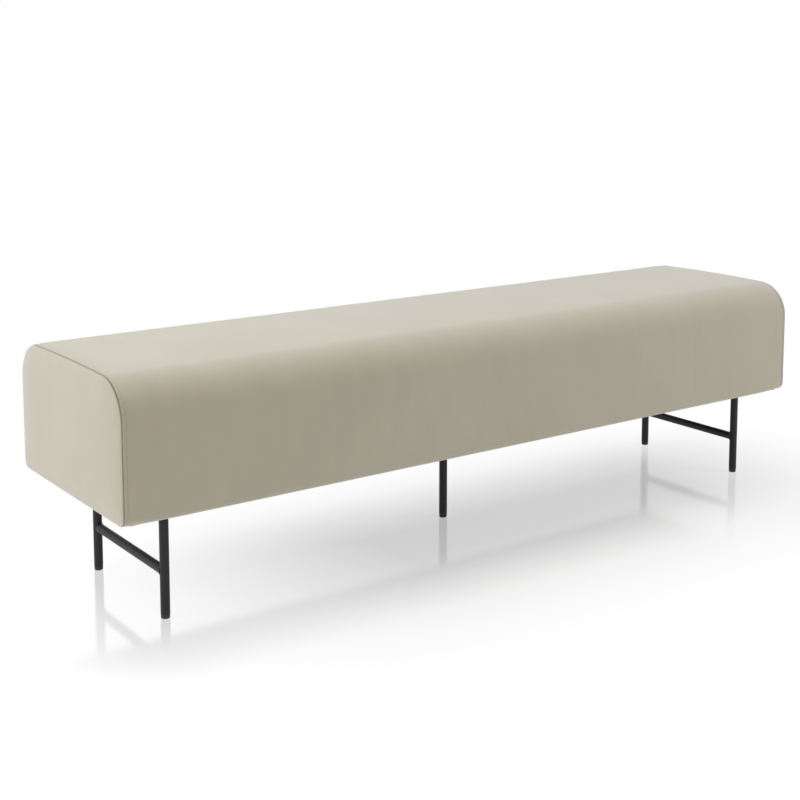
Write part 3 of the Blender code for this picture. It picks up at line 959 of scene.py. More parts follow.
@dataclass(frozen=True)
class ClothTension:
    """How the foam swells a sewn cover, from a cloth simulation of a coarse copy of it."""

    frames: int = 20
    pressure: float = 4.0
    stiffness: float = 30.0
    bending: float = 1.0
    most: float = 0.0014

    def swell(self, places: Array, held: Array, closed: bool = False) -> Array:
        """Let a coarse cloth swell between the points that hold it.

        Args:
            places: its points, by row and column.
            held: which of them stay where they are.
            closed: whether the last column joins the first.

        Returns:
            How far each point moves, the largest move brought down to the foam's give.
        """
        mesh = grid_mesh("cloth_cage", places, places[:, :, 1:], closed=closed)
        cage = add_object("cloth_cage", mesh)
        pins = cage.vertex_groups.new(name="held")
        pins.add(np.flatnonzero(held).tolist(), 1.0, "REPLACE")
        cloth = cage.modifiers.new("cloth", "CLOTH")
        cloth.point_cache.frame_start = 1
        cloth.point_cache.frame_end = self.frames
        cloth.collision_settings.use_collision = False
        settings = cloth.settings
        settings.vertex_group_mass = pins.name
        settings.effector_weights.gravity = 0.0
        for strain in ("tension", "compression", "shear"):
            setattr(settings, f"{strain}_stiffness", self.stiffness)
        settings.bending_stiffness = self.bending
        settings.use_pressure = True
        settings.uniform_pressure_force = self.pressure
        for number in range(1, self.frames + 1):
            bpy.context.scene.frame_set(number)
        swollen = cage.evaluated_get(bpy.context.evaluated_depsgraph_get())
        found = np.empty(places.size, np.float32)
        swollen.data.vertices.foreach_get("co", found)
        bpy.data.objects.remove(cage, do_unlink=True)
        bpy.context.scene.frame_set(1)
        moved = found.reshape(places.shape) - places
        largest = float(np.linalg.norm(moved, axis=2).max())
        logger.info("the cloth swells by %.1f mm, brought down to the foam's give", 1000 * largest)
        return moved * min(1.0, self.most / max(largest, self.most))


@dataclass
class BodyCover:
    """The long piece of the cover: front, top and rear, turned under at both edges."""

    form: BlockForm
    tension: ClothTension
    thickness: float = 0.0015
    spacing: float = 0.008
    strip: tuple[float, ...] = (0.28, 0.40, 0.60, 0.80, 0.86, 0.93, 1.0, 1.10)
    run_out: tuple[float, ...] = (0.009, 0.0112, 0.0142, 0.018, 0.023, 0.029, 0.036)
    ridge_rise: float = 0.3
    ridge_fall: float = 0.14
    sway: float = 0.0004
    sway_length: float = 0.16
    sway_from: float = 0.02
    sway_over: float = 0.06
    pucker: float = 0.00022
    pucker_length: float = 0.021
    pucker_from: float = 0.009
    pucker_reach: float = 0.012
    flat_edge: float = 0.06
    seeds: Point = (3.7, 9.1, 0.4)
    stitch_share: float = 0.93
    dent: float = 0.00035
    dent_reach: float = 0.0009
    # Painted shade in the dent that the topstitches pull into the cloth
    dent_crush: float = 0.35
    cage_steps: float = 1.7
    surface: BVHTree | None = None

    def dented(self, distance: float) -> float:
        """How much the topstitches pull the cloth down at a distance from the seam."""
        off = abs(distance - self.form.stitch_reach * self.stitch_share)
        return max(1.0 - off / self.dent_reach, 0.0)

    def across(self, distance: float) -> Array:
        """The outline of the cloth, with the seam's turnings lifting the topstitched strip.

        Args:
            distance: how far from the seam.

        Returns:
            The (y, z) points.
        """
        form = self.form
        rise = smooth_step(distance / (form.stitch_reach * self.ridge_rise))
        fall = smooth_step((form.stitch_reach - distance) / (form.stitch_reach * self.ridge_fall))
        depth = form.drawn_in(distance) - form.stitch_ridge * float(rise * fall)
        depth += self.dent * self.dented(distance)
        return form.rolled(form.section(depth, depth, form.rounder(distance)), distance)

    def stations(self) -> list[float]:
        """Distances from a seam at which the cloth has a row of points, up to the middle.

        Returns:
            The distances, from the seam inwards.
        """
        close = [distance for distance, _ in self.form.roll]
        strip = [self.form.stitch_reach * share for share in self.strip]
        last = self.run_out[-1]
        rest = self.form.seam_x - last
        count = round(rest / self.spacing)
        return [*close, *strip, *self.run_out, *(last + rest * np.arange(1, count + 1) / count)]

    def build(self) -> Piece:
        """Model the cloth.

        Returns:
            The piece.
        """
        form = self.form
        half = self.stations()
        rows = [(-1.0, distance) for distance in half] + [(1.0, other) for other in half[-2::-1]]
        straight = form.section()
        run, facing = run_along(straight), outward(straight)
        places = np.empty((len(rows), len(run), 3))
        seam_shade = np.empty((len(rows), len(run)))
        for row, (sign, distance) in enumerate(rows):
            x = sign * (form.seam_x - distance)
            relief = self.relief(x, distance, run)
            places[row, :, 0] = x
            places[row, :, 1:] = self.across(distance) + facing * relief[:, None]
            # Painted shade where the topstitches dent the cloth and in the seam groove
            stitch_shade = self.dent_crush * self.dented(distance)
            seam_shade[row] = np.maximum(form.seam_shade(facing, distance), stitch_shade)
        flat = np.stack(np.broadcast_arrays(places[:, :, 0], run), axis=-1)
        places += self.swell(places, run)
        cover = add_object("seat_cover_body", grid_mesh("seat_cover_body", places, flat, seam_shade))
        self.surface = thicken(cover, self.thickness)
        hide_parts("body_cover")
        return cover

    def swell(self, places: Array, run: Array) -> Array:
        """How the pads swell the cloth between its seams and its turned-under edges.

        Args:
            places: the cloth's points, by row and column.
            run: where the columns lie round the section.

        Returns:
            How far each point moves.
        """
        form = self.form
        rows = [0]
        for row in range(1, len(places)):
            if abs(places[row, 0, 0] - places[rows[-1], 0, 0]) > self.cage_steps * self.spacing:
                rows.append(row)
        rows[-1] = len(places) - 1
        edge = form.flap_steps
        under = [0, edge, edge + form.low_steps // 2]
        half = [*under, *range(edge + form.low_steps, places.shape[1] // 2, 2)]
        columns = half + [places.shape[1] - 1 - column for column in half[::-1]]
        held = np.ones((len(rows), len(columns)), bool)
        held[1:-1, len(under) : -len(under)] = False
        moved = self.tension.swell(places[np.ix_(rows, columns)], held)
        moved = eased(places[:, 0, 0], places[rows, 0, 0], moved)
        moved = eased(run, run[columns], moved.transpose(1, 0, 2)).transpose(1, 0, 2)
        return moved * (0.0, 1.0, 1.0)

    def relief(self, x: float, distance: float, run: Array) -> Array:
        """Small swells of the foam and puckers that run out from the seam.

        Args:
            x: where the row lies along the bench.
            distance: how far that is from the seam.
            run: where the row's points lie round the section.

        Returns:
            How far each point stands out.
        """
        sway_seed, row_seed, pucker_seed = self.seeds
        clear = smooth_step((distance - self.sway_from) / self.sway_over)
        swell = noise_at(x / self.sway_length, run / self.sway_length, sway_seed)
        wave = noise_at(math.copysign(row_seed, x), run / self.pucker_length, pucker_seed)
        fade = math.exp(-(((distance - self.pucker_from) / self.pucker_reach) ** 2))
        near_edge = smooth_step(np.minimum(run, run[-1] - run) / self.flat_edge)
        return (self.sway * clear * swell + self.pucker * fade * wave) * near_edge


@dataclass
class EndPanel:
    """A crowned end panel of the cover, its lower edge turned under the block."""

    form: BlockForm
    tension: ClothTension
    end: End
    thickness: float = 0.0015
    crown_shares: tuple[float, ...] = (
        0.004, 0.012, 0.03, 0.06, 0.10, 0.16, 0.24, 0.34, 0.46, 0.60, 0.78, 1.0
    )
    sway: float = 0.0004
    sway_length: float = 0.13
    sway_from: float = 0.004
    sway_over: float = 0.006
    seed: float = 5.0
    inner_rings: int = 10
    middle_stops: int = 10
    base_steps: int = 42
    lap_steps: int = 6
    corner_growth: float = 1.7
    cage_spacing: float = 0.007
    loose_rings: int = 3
    surface: BVHTree | None = None

    def crown_rings(self) -> list[Pair]:
        """Rings from the seam over the crown.

        Returns:
            Each ring's distance past the seam, and how far its outline is moved inwards.
        """
        form = self.form
        rings = [(form.gap + step, form.seam_draw) for step, _ in form.roll[:-1]]
        lip = rings[-1][0]
        height = form.crown(1.0)
        for share in self.crown_shares:
            past = lip + (height - lip) * form.crown(share) / height
            rings.append((past, form.seam_draw + form.crown_reach * share))
        return rings

    def build(self) -> Piece:
        """Model the cloth.

        Returns:
            The piece.
        """
        form = self.form
        name = f"seat_cover_end_{self.end.label}"
        places, seam_shade = [], []
        for past, inset in self.crown_rings():
            outline = self.closed_outline(inset)
            # Painted shade in the seam groove, ring by ring
            seam_shade.append(form.seam_shade(outward(outline), past))
            outline = form.rolled(outline, past - form.gap)
            places.append(np.column_stack([np.full(len(outline), form.seam_x + past), outline]))
        rings = np.concatenate([places, self.inner_places(places[-1])])
        rings = rings + self.relief(rings) + self.swell(rings)
        rings[:, :, 0] *= self.end.value
        # Painted shade on the crown's rings near the seam, none further in
        seam_shading = np.zeros(rings.shape[:2])
        seam_shading[: len(seam_shade)] = seam_shade
        if self.end is End.LEFT:
            rings, seam_shading = rings[:, ::-1], seam_shading[:, ::-1]
        panel = add_object(name, grid_mesh(name, rings, rings[:, :, 1:], seam_shading, closed=True))
        with editing(panel):
            bpy.ops.mesh.select_all(action="SELECT")
            bpy.ops.mesh.remove_doubles(threshold=SAME_PLACE)
            bpy.ops.mesh.normals_make_consistent(inside=False)
        self.turn_under(panel)
        self.surface = thicken(panel, self.thickness)
        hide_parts(f"end_cover_{self.end.label}")
        return panel

    def closed_outline(self, inset: float) -> Array:
        """The block's outline with points along its underside too.

        Args:
            inset: how far it is moved inwards.

        Returns:
            The (y, z) points all round.
        """
        form = self.form
        rounder = form.low_round + self.corner_growth * (inset - form.seam_draw)
        wall = form.section(inset, form.seam_draw, rounder)[form.flap_steps : -form.flap_steps]
        reach = form.half_depth - form.turn_under
        corner = form.half_depth - form.low_radius - form.low_round
        stop = wall[-1] * (reach / corner, 1.0)
        lap = np.linspace(wall[-1], stop, form.flap_steps + 1)[1:]
        base = np.linspace(stop, stop * (-1.0, 1.0), self.base_steps + 1)[1:-1]
        return np.concatenate([wall, lap, base, lap[::-1] * (-1.0, 1.0)])

    def inner_places(self, outer: Array) -> Array:
        """Rings from the crown's inner edge to a line along the panel's middle.

        Args:
            outer: the crown's last ring.

        Returns:
            The rings, the last of them folded onto the middle line.
        """
        (_, reach, top), bottom = outer.max(axis=0), outer[:, 2].min()
        reach -= (top - bottom) / 2.0
        stop = reach / self.middle_stops
        target = outer.copy()
        target[:, 1] = np.round(np.clip(outer[:, 1], -reach, reach) / stop) * stop
        target[:, 2] = (top + bottom) / 2.0
        return np.linspace(outer, target, self.inner_rings + 1)[1:]

    def swell(self, rings: Array) -> Array:
        """How the end pad swells the panel inside its seam.

        Args:
            rings: the panel's points by ring.

        Returns:
            How far each point moves, only along the bench.
        """
        rise = np.abs(np.diff(rings[:, 0], axis=0))
        path = np.concatenate([[0.0], np.cumsum(rise.sum(axis=1))])
        chosen = [0]
        for ring in range(1, len(rings) - 1):
            if path[ring] - path[chosen[-1]] > self.cage_spacing:
                chosen.append(ring)
        held = np.zeros((len(chosen), rings.shape[1]), bool)
        held[0] = True
        moved = self.tension.swell(rings[chosen], held, closed=True)[: -self.loose_rings, :, 0]
        knots = np.append(path[chosen[: -self.loose_rings]], path[-1])
        moved = np.concatenate([moved, moved[-1:]])
        means = moved.mean(axis=1)[:, None]
        inward = smooth_step((knots / knots[-1])[:, None])
        found = np.zeros_like(rings)
        found[:, :, 0] = eased(path, knots, means + (moved - means) * (1.0 - inward))
        return found

    def relief(self, rings: Array) -> Array:
        """Small swells of the panel, none near its seam.

        Args:
            rings: the panel's points by ring.

        Returns:
            How far each point moves.
        """
        past, across, up = np.moveaxis(rings, 2, 0)
        crown = smooth_step((past - self.form.seam_x - self.sway_from) / self.sway_over)
        seed = self.seed * self.end.value
        sways = noise_at(across / self.sway_length, up / self.sway_length, seed)
        moved = np.zeros_like(rings)
        moved[:, :, 0] = self.sway * crown * (sways - 0.5)
        return moved

    def turn_under(self, panel: Piece) -> None:
        """Extrude the lower edge inwards under the block.

        Args:
            panel: the piece.
        """
        form = self.form
        reach = form.half_depth - form.turn_under
        with editing(panel):
            bpy.ops.mesh.select_mode(type="EDGE")
            bpy.ops.mesh.select_all(action="DESELECT")
            bm = bmesh.from_edit_mesh(panel.data)
            for edge in bm.edges:
                middle = (edge.verts[0].co + edge.verts[1].co) / 2.0
                low = middle.z < form.underside + form.gap
                edge.select_set(edge.is_boundary and low and abs(middle.y) < reach)
            bmesh.update_edit_mesh(panel.data)
            for _ in range(self.lap_steps):
                extrude(-self.end.value * form.turn_under / self.lap_steps, 0.0, 0.0)
            bpy.ops.mesh.select_all(action="SELECT")
            bpy.ops.mesh.normals_make_consistent(inside=False)
        panel.data.shade_smooth()


@dataclass
class FoamPads:
    """The seat slab and the pads round the carcass, remeshed so that their edges are soft."""

    material: Material
    voxel: float = 0.006
    softness: float = 0.5
    smoothing: int = 4
    nodes: tuple[tuple[str, str, float], ...] = (
        ("seat_foam", "seat_foam_pad", 0.9),
        ("front_foam", "front_foam_pad", 0.85),
        ("rear_foam", "rear_foam_pad", 0.85),
        ("end_foam_left", "end_foam_pad_left", 0.85),
        ("end_foam_right", "end_foam_pad_right", 0.85),
    )

    def build(self) -> list[Piece]:
        """Model the pads from copies of their solids."""
        return [self.build_one(node, name) for node, name, fill in self.nodes]

    def build_one(self, node: str, name: str) -> Piece:
        """Model one pad.

        Args:
            node: the solid that it stands for.
            name: the pad's name.

        Returns:
            The pad.
        """
        pad = add_object(name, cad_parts[node].data.copy())
        merge_points(pad)
        remesh = pad.modifiers.new("even skin", "REMESH")
        remesh.mode = "VOXEL"
        remesh.voxel_size = self.voxel
        soften = pad.modifiers.new("soft edges", "SMOOTH")
        soften.factor = self.softness
        soften.iterations = self.smoothing
        apply_modifiers(pad)
        pad.data.shade_smooth()
        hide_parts(node)
        hand_over(pad, self.material)
        return pad


@dataclass
class Topstitching:
    """The line of topstitches beside an end seam, holding down the seam's turnings."""

    cover: BodyCover
    end: End
    material: Material
    pitch: float = 0.0046
    length: float = 0.0036
    width: float = 0.0007
    flatness: float = 0.8
    dip_share: float = 0.36
    dip: float = 0.45
    lift: float = 0.4
    sink: float = 0.00025
    sides: int = 8
    rings: int = 6

    def stitch(self) -> Piece:
        """Model one stitch along X whose ends dip into the cloth.

        Returns:
            The stitch.
        """
        stitch = start_from(
            bpy.ops.mesh.primitive_uv_sphere_add,
            (self.width * self.flatness, self.width, self.length),
            segments=self.sides,
            ring_count=self.rings,
            radius=0.5,
            rotation=(0.0, QUARTER_TURN, 0.0),
        )
        end = self.length * self.dip_share
        with editing(stitch):
            select_in_edit(stitch, "VERT", lambda middle, normal: abs(middle.x) > end)
            bpy.ops.transform.translate(value=(0.0, 0.0, -self.width * self.dip))
        stitch.data.shade_smooth()
        return stitch

    def places(self) -> list[Matrix]:
        """Where the stitches lie, evenly round the section.

        Returns:
            A matrix for each stitch.
        """
        distance = self.cover.form.stitch_reach * self.cover.stitch_share
        x = self.end.value * (self.cover.form.seam_x - distance)
        line = self.cover.across(distance)
        run = run_along(line)
        count = int(run[-1] / self.pitch)
        at = (np.arange(count) + 0.5) * run[-1] / count
        here, ahead, back = (
            np.stack([np.interp(at + off, run, line[:, axis]) for axis in (0, 1)], axis=1)
            for off in (0.0, self.pitch / 3, -self.pitch / 3)
        )
        found = []
        for (y, z), step in zip(here, ahead - back):
            along_y, along_z = step / np.linalg.norm(step)
            lift = self.width * self.lift - self.sink
            found.append(Matrix((
                (0.0, -1.0, 0.0, x),
                (along_y, 0.0, -along_z, y - along_z * lift),
                (along_z, 0.0, along_y, z + along_y * lift),
                (0.0, 0.0, 0.0, 1.0),
            )))
        return found

    def build(self) -> None:
        """Model the whole line of stitches."""
        line = copies_joined(f"topstitching_{self.end.label}", self.stitch(), self.places())
        hand_over(line, self.material)


@dataclass
class DustCover:
    """The black cloth under the block, with a window for each plate, held by staples."""

    cloth: Material
    wire: Material
    thickness: float = 0.0008
    spacing: float = 0.012
    plate_lap: float = 0.004
    border: float = 0.019
    step_run: float = 0.006
    sag: float = 0.0012
    sag_reach: float = 0.12
    plate_rim: float = 0.006
    ripple: Pair = (0.11, 0.07)
    ripple_seed: float = 1.3
    ripple_share: float = 0.5
    staple_pitch: float = 0.055
    staple_width: float = 0.010
    wire_size: float = 0.0009
    wire_flatness: float = 0.6
    leg_share: float = 0.62
    leg_taper: float = 0.8
    leg_length: float = 1.6
    wire_cuts: int = 4
    wire_bevel: float = 0.18
    bevel_steps: int = 2
    wire_sink: float = 0.2
    staple_inset: float = 0.007
    corner_insets: Pair = (2.0, 3.0)
    plates: tuple[str, ...] = ("frame_plate_left", "frame_plate_centre", "frame_plate_right")

    def lines(self, low: float, high: float, fixed: Iterable[float]) -> Array:
        """Grid lines between two ends that keep to given places.

        Args:
            low: where they start.
            high: where they end.
            fixed: places that have a line.

        Returns:
            The lines' places.
        """
        stops = sorted({low, high, *fixed})
        found = [low]
        for start, stop in zip(stops, stops[1:]):
            count = max(1, round((stop - start) / self.spacing))
            found += [start + (stop - start) * step / count for step in range(1, count + 1)]
        return np.array(found)

    def build(self) -> None:
        """Model the cloth, with windows a little smaller than the plates, and its staples."""
        low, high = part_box("dust_cover")
        lap = Vector((self.plate_lap, self.plate_lap, 0.0))
        plates = [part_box(plate) for plate in self.plates]
        windows = [(plate_low + lap, plate_high - lap) for plate_low, plate_high in plates]
        lines = []
        for axis in (0, 1):
            edges = [corner[axis] for window in windows for corner in window]
            for inset in (self.border, self.border + self.step_run):
                edges += [low[axis] + inset, high[axis] - inset]
            lines.append(self.lines(low[axis], high[axis], edges))
        x, y = np.meshgrid(*lines, indexing="ij")
        from_edge = np.minimum.reduce([x - low.x, high.x - x, y - low.y, high.y - y])
        step = smooth_step((from_edge - self.border) / self.step_run)
        lift = (high.z - low.z - self.thickness) * step - self.hang(x, y, windows, from_edge)
        places = np.stack([x, y, low.z + lift], axis=-1)[:, ::-1]
        sheet = add_object(
            "dust_cloth_sheet", grid_mesh("dust_cloth_sheet", places, places[:, :, :2])
        )

        def in_window(middle: Vector, normal: Vector) -> bool:
            """Whether a face lies in a window, from its middle."""
            return any(a.x < middle.x < b.x and a.y < middle.y < b.y for a, b in windows)

        with editing(sheet):
            select_in_edit(sheet, "FACE", in_window)
            bpy.ops.mesh.delete(type="FACE")
        thicken(sheet, self.thickness)
        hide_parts("dust_cover")
        hand_over(sheet, self.cloth)
        staples = copies_joined("dust_cloth_staples", self.staple(), self.staple_places(low, high))
        hand_over(staples, self.wire)

    def hang(self, x: Array, y: Array, windows: Sequence[Window], from_edge: Array) -> Array:
        """How far the cloth sags between the things that hold it.

        Args:
            x: the points' places along the bench.
            y: their places across it.
            windows: the plates' windows.
            from_edge: how far each point is from the cloth's edge.

        Returns:
            The sag of each point.
        """
        free = from_edge
        for low, high in windows:
            off_x = np.maximum(np.maximum(low.x - x, x - high.x), 0.0)
            off_y = np.maximum(np.maximum(low.y - y, y - high.y), 0.0)
            free = np.minimum(free, np.hypot(off_x, off_y) - self.plate_rim)
        ripple = noise_at(x / self.ripple[0], y / self.ripple[1], self.ripple_seed)
        sag = self.sag * (1.0 + self.ripple_share * ripple)
        return smooth_step(free / self.sag_reach) * sag

    def staple(self) -> Piece:
        """Model one staple along X: a flat wire whose two legs go up into the timber.

        Returns:
            The staple.
        """
        wire = self.wire_size
        size = (self.staple_width, wire, wire * self.wire_flatness)
        staple = start_from(bpy.ops.mesh.primitive_cube_add, size, size=1.0)
        leg_start = (self.staple_width / 2.0 - wire) * self.leg_share

        def starts_leg(middle: Vector, normal: Vector) -> bool:
            """Whether a leg goes up from a face."""
            return normal.z > FACING and abs(middle.x) > leg_start

        with editing(staple):
            bpy.ops.mesh.select_all(action="SELECT")
            bpy.ops.mesh.subdivide(number_cuts=self.wire_cuts)
            select_in_edit(staple, "FACE", starts_leg)
            bpy.ops.transform.resize(value=(1.0, self.leg_taper, 1.0))
            extrude(0.0, 0.0, wire * self.leg_length)
        bevel = staple.modifiers.new("rounded wire", "BEVEL")
        bevel.width = wire * self.wire_bevel
        bevel.segments = self.bevel_steps
        bevel.limit_method = "ANGLE"
        apply_modifiers(staple)
        staple.data.shade_smooth()
        return staple

    def staple_places(self, low: Vector, high: Vector) -> list[Matrix]:
        """Where the staples lie round the cloth.

        Args:
            low: the cloth's low corner.
            high: its high corner.

        Returns:
            A matrix for each staple.
        """
        z = low.z - self.wire_size * self.wire_sink
        inset = self.staple_inset
        places = []
        for along, keep_off in enumerate(self.corner_insets):
            across = 1 - along
            turned = Matrix.Rotation(QUARTER_TURN * along, 4, "Z")
            start, stop = low[along] + keep_off * inset, high[along] - keep_off * inset
            count = round((stop - start) / self.staple_pitch)
            for side in (low[across] + inset, high[across] - inset):
                for at in np.linspace(start, stop, count + 1):
                    place = (at, side, z) if along == 0 else (side, at, z)
                    places.append(Matrix.Translation(place) @ turned)
        return places


@dataclass
class Upholstery:
    """The sewn cover over its pads, with its topstitching and dust cloth."""

    form: BlockForm
    press_reach: float = 0.006

    def build(self) -> None:
        """Model the pads, the cover, the stitching and the dust cloth."""
        velvet, thread = VELVET.make(), THREAD.make()
        tension = ClothTension()
        pads = FoamPads(FOAM.make()).build()
        body = BodyCover(self.form, tension)
        hand_over(body.build(), velvet)
        surfaces = [body.surface]
        for end in End:
            panel = EndPanel(self.form, tension, end)
            hand_over(panel.build(), velvet)
            surfaces.append(panel.surface)
            Topstitching(body, end, thread).build()
        for pad in pads:
            for surface in surfaces:
                tuck_under(pad, surface, body.thickness + self.form.gap, self.press_reach)
        wire = replace(ZINC_PLATE, name="staple_wire").make()
        DustCover(FELTED_CLOTH.make(), wire).build()


# Steelwork and the solids that keep their shape


@dataclass
class WeldBeads:
    """The fillets of weld where tubes meet tubes and plates."""

    material: Material
    bead: float = 0.0013
    ripple: float = 0.18
    ripples: int = 22
    points: int = 88
    sides: int = 2
    stand_off: float = 0.25
    cope: float = 0.93
    cope_lap: float = 0.2
    collar_lap: float = 0.3
    collar_drop: float = 0.45

    def bead_curve(self, name: str, places: Array) -> None:
        """Model a closed bead along some points, its radius rippled as weld is.

        Args:
            name: the bead's name.
            places: the points of its middle line.
        """
        curve = bpy.data.curves.new(name, "CURVE")
        curve.dimensions = "3D"
        curve.bevel_depth = self.bead
        curve.bevel_resolution = self.sides
        spline = curve.splines.new("POLY")
        spline.points.add(len(places) - 1)
        spline.use_cyclic_u = True
        for number, (point, place) in enumerate(zip(spline.points, places)):
            turn = FULL_TURN * self.ripples * number / len(places)
            point.co = (*place, 1.0)
            point.radius = 1.0 - self.ripple * (0.5 + 0.5 * math.cos(turn))
        select_only(add_object(name, curve))
        bpy.ops.object.convert(target="MESH")
        bead = bpy.context.active_object
        bead.data.shade_smooth()
        hand_over(bead, self.material)

    def ring(self, radius: float) -> Array:
        """The (cosine, sine) points of a circle, times a radius."""
        turns = FULL_TURN * np.arange(self.points) / self.points
        return radius * np.stack([np.cos(turns), np.sin(turns)])

    def saddle(self, stretcher: str, leg: str, row: Row) -> Array:
        """The line where a stretcher meets a leg.

        Args:
            stretcher: the stretcher's node.
            leg: the leg's node.
            row: the leg's row.

        Returns:
            The line's points.
        """
        low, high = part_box(stretcher)
        leg_y = sum(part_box(leg), Vector()).y / 2.0
        middle = (low + high) / 2.0
        radius = (high.z - low.z) / 2.0
        across, up = self.ring(radius + self.bead * self.stand_off)
        rounded = np.sqrt(np.maximum(radius**2 - (across * self.cope) ** 2, 0.0))
        y = leg_y - row.value * (rounded + self.bead * self.cope_lap)
        return np.stack([middle.x + across, y, middle.z + up], axis=1)

    def collar(self, leg: str, plate: str) -> Array:
        """The ring where a leg meets its plate.

        Args:
            leg: the leg's node.
            plate: the plate's node.

        Returns:
            The ring's points.
        """
        low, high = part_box(leg)
        middle = (low + high) / 2.0
        x, y = self.ring((high.x - low.x) / 2.0 + self.bead * self.collar_lap)
        z = np.full_like(x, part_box(plate)[0].z - self.bead * self.collar_drop)
        return np.stack([middle.x + x, middle.y + y, z], axis=1)

    def build(self) -> None:
        """Model every bead."""
        for end in End:
            for row in Row:
                place = f"{row.name.lower()}_{end.label}"
                leg = f"leg_{place}"
                line = self.saddle(f"stretcher_{end.label}", leg, row)
                self.bead_curve(f"weld_stretcher_{place}", line)
                self.bead_curve(f"weld_plate_{place}", self.collar(leg, f"frame_plate_{end.label}"))
        self.bead_curve("weld_plate_centre", self.collar("leg_centre", "frame_plate_centre"))


@dataclass
class PlateScrews:
    """Pan-head screws with a cross recess and a turned thread, under each plate."""

    material: Material
    head_height: float = 0.0026
    head_sides: int = 32
    head_round: float = 0.55
    round_steps: int = 5
    head_profile: float = 0.6
    shank_radius: float = 0.0022
    thread_turns: int = 11
    thread_depth: float = 0.0004
    tip_steps: float = 3.0
    tip_share: float = 0.08
    recess_width: float = 0.0011
    recess_length: float = 0.0052
    recess_depth: float = 0.0014
    recess_taper: float = 0.6
    smooth_angle: float = 32.0
    turn_step: float = 1.7

    def screw(self, node: str) -> Piece:
        """Model one screw, head down, with the top of its head at the origin.

        Args:
            node: a screw's solid, for the sizes.

        Returns:
            The screw.
        """
        low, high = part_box(node)
        radius = (high.x - low.x) / 2.0
        screw = start_from(
            bpy.ops.mesh.primitive_cylinder_add,
            vertices=self.head_sides,
            radius=radius,
            depth=self.head_height,
            location=(0.0, 0.0, -self.head_height / 2),
        )
        turns = 2 * self.thread_turns
        step = (high.z - low.z - self.head_height) / (turns + self.tip_steps)
        root = 1.0 - self.thread_depth / self.shank_radius
        with editing(screw):
            select_in_edit(screw, "FACE", lambda middle, normal: normal.z < -FACING)
            rounding = {"segments": self.round_steps, "profile": self.head_profile}
            bpy.ops.mesh.bevel(offset=self.head_height * self.head_round, **rounding)
            select_in_edit(screw, "FACE", lambda middle, normal: normal.z > FACING)
            bpy.ops.mesh.inset(thickness=radius - self.shank_radius)
            rings = [(step, share) for share in (root, 1.0 / root)] * self.thread_turns
            for height, share in rings + [(self.tip_steps * step, self.tip_share)]:
                extrude(0.0, 0.0, height)
                bpy.ops.transform.resize(value=(share, share, 1.0))
        self.cut_recess(screw)
        screw.data.shade_smooth()
        screw.data.set_sharp_from_angle(angle=math.radians(self.smooth_angle))
        return screw

    def cut_recess(self, screw: Piece) -> None:
        """Cut the cross recess into the head.

        Args:
            screw: the screw.
        """
        for turn in (0.0, QUARTER_TURN):
            blade = start_from(
                bpy.ops.mesh.primitive_cube_add,
                (self.recess_length, self.recess_width, 2.0 * self.recess_depth),
                size=1.0,
                location=(0.0, 0.0, -self.head_height),
                rotation=(0.0, 0.0, turn),
            )
            taper = (self.recess_taper, self.recess_taper, 1.0)
            with editing(blade):
                select_in_edit(blade, "FACE", lambda middle, normal: normal.z > FACING)
                bpy.ops.transform.resize(value=taper, center_override=(0.0, 0.0, 0.0))
            cut = screw.modifiers.new("recess", "BOOLEAN")
            cut.operation = "DIFFERENCE"
            cut.solver = "EXACT"
            cut.object = blade
            apply_modifiers(screw)
            bpy.data.objects.remove(blade, do_unlink=True)

    def build(self) -> None:
        """Model a screw for each screw node, each turned differently."""
        nodes = sorted(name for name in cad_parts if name.startswith("plate_screw_"))
        original = self.screw(nodes[0])
        for number, node in enumerate(nodes):
            low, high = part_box(node)
            middle = (low + high) / 2.0
            middle.z = low.z + self.head_height
            mesh = original.data.copy()
            turned = Matrix.Rotation(self.turn_step * number, 4, "Z")
            mesh.transform(Matrix.Translation(middle) @ turned)
            screw = add_object(node.replace("plate_screw", "pan_head_screw"), mesh)
            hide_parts(node)
            hand_over(screw, self.material)
        bpy.data.objects.remove(original, do_unlink=True)


@dataclass
class KeptSolids:
    """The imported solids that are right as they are, and only get a finish.

    Each look goes to the nodes that start with one of its names and have none yet.
    """

    smooth_angle: float = 30.0
    looks: tuple[tuple[tuple[str, ...], Finish, Slot], ...] = (
        (("leg_rail_",), beech(Axis.Y), Slot.HARDWOOD),
        (("corner_block_",), beech(Axis.Z), Slot.HARDWOOD),
        (("leg_", "stretcher_", "frame_plate_"), POWDER_COAT, Slot.STEEL),
        (("glide_",), MOULDED_NYLON, Slot.NYLON),
        (("end_board_", "cross_rib_"), birch_plywood(Axis.X), Slot.PLYWOOD),
        (("front_board", "rear_board"), birch_plywood(Axis.Y), Slot.PLYWOOD),
        (("seat_deck",), birch_plywood(Axis.Z), Slot.PLYWOOD),
    )

    def build(self) -> None:
        """Dress the steel, the glides and the timber, and smooth their skins."""
        waiting = sorted(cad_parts)
        for names, finish, slot in self.looks:
            material = finish.make()
            for name in [name for name in waiting if name.startswith(names)]:
                waiting.remove(name)
                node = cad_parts[name]
                node.data.materials.clear()
                node.data.materials.append(material)
                merge_points(node)
                split = node.modifiers.new("sharp edges", "EDGE_SPLIT")
                split.split_angle = math.radians(self.smooth_angle)
                node.data.shade_smooth()
                logger.info("%s keeps its solid", name)


# Studio


@dataclass(frozen=True)
class SoftLamp:
    """A square soft lamp that faces a point."""

    name: str
    place: Point
    aim: Point
    side: float
    power: float

    def build(self) -> None:
        """Hang the lamp."""
        lamp = bpy.data.lights.new(self.name, "AREA")
        lamp.shape = "SQUARE"
        lamp.size = self.side
        lamp.energy = self.power
        holder = add_object(self.name, lamp)
        holder.location = self.place
        facing = Vector(self.aim) - Vector(self.place)
        holder.rotation_euler = facing.to_track_quat("-Z", "Y").to_euler()
        holder.visible_glossy = False


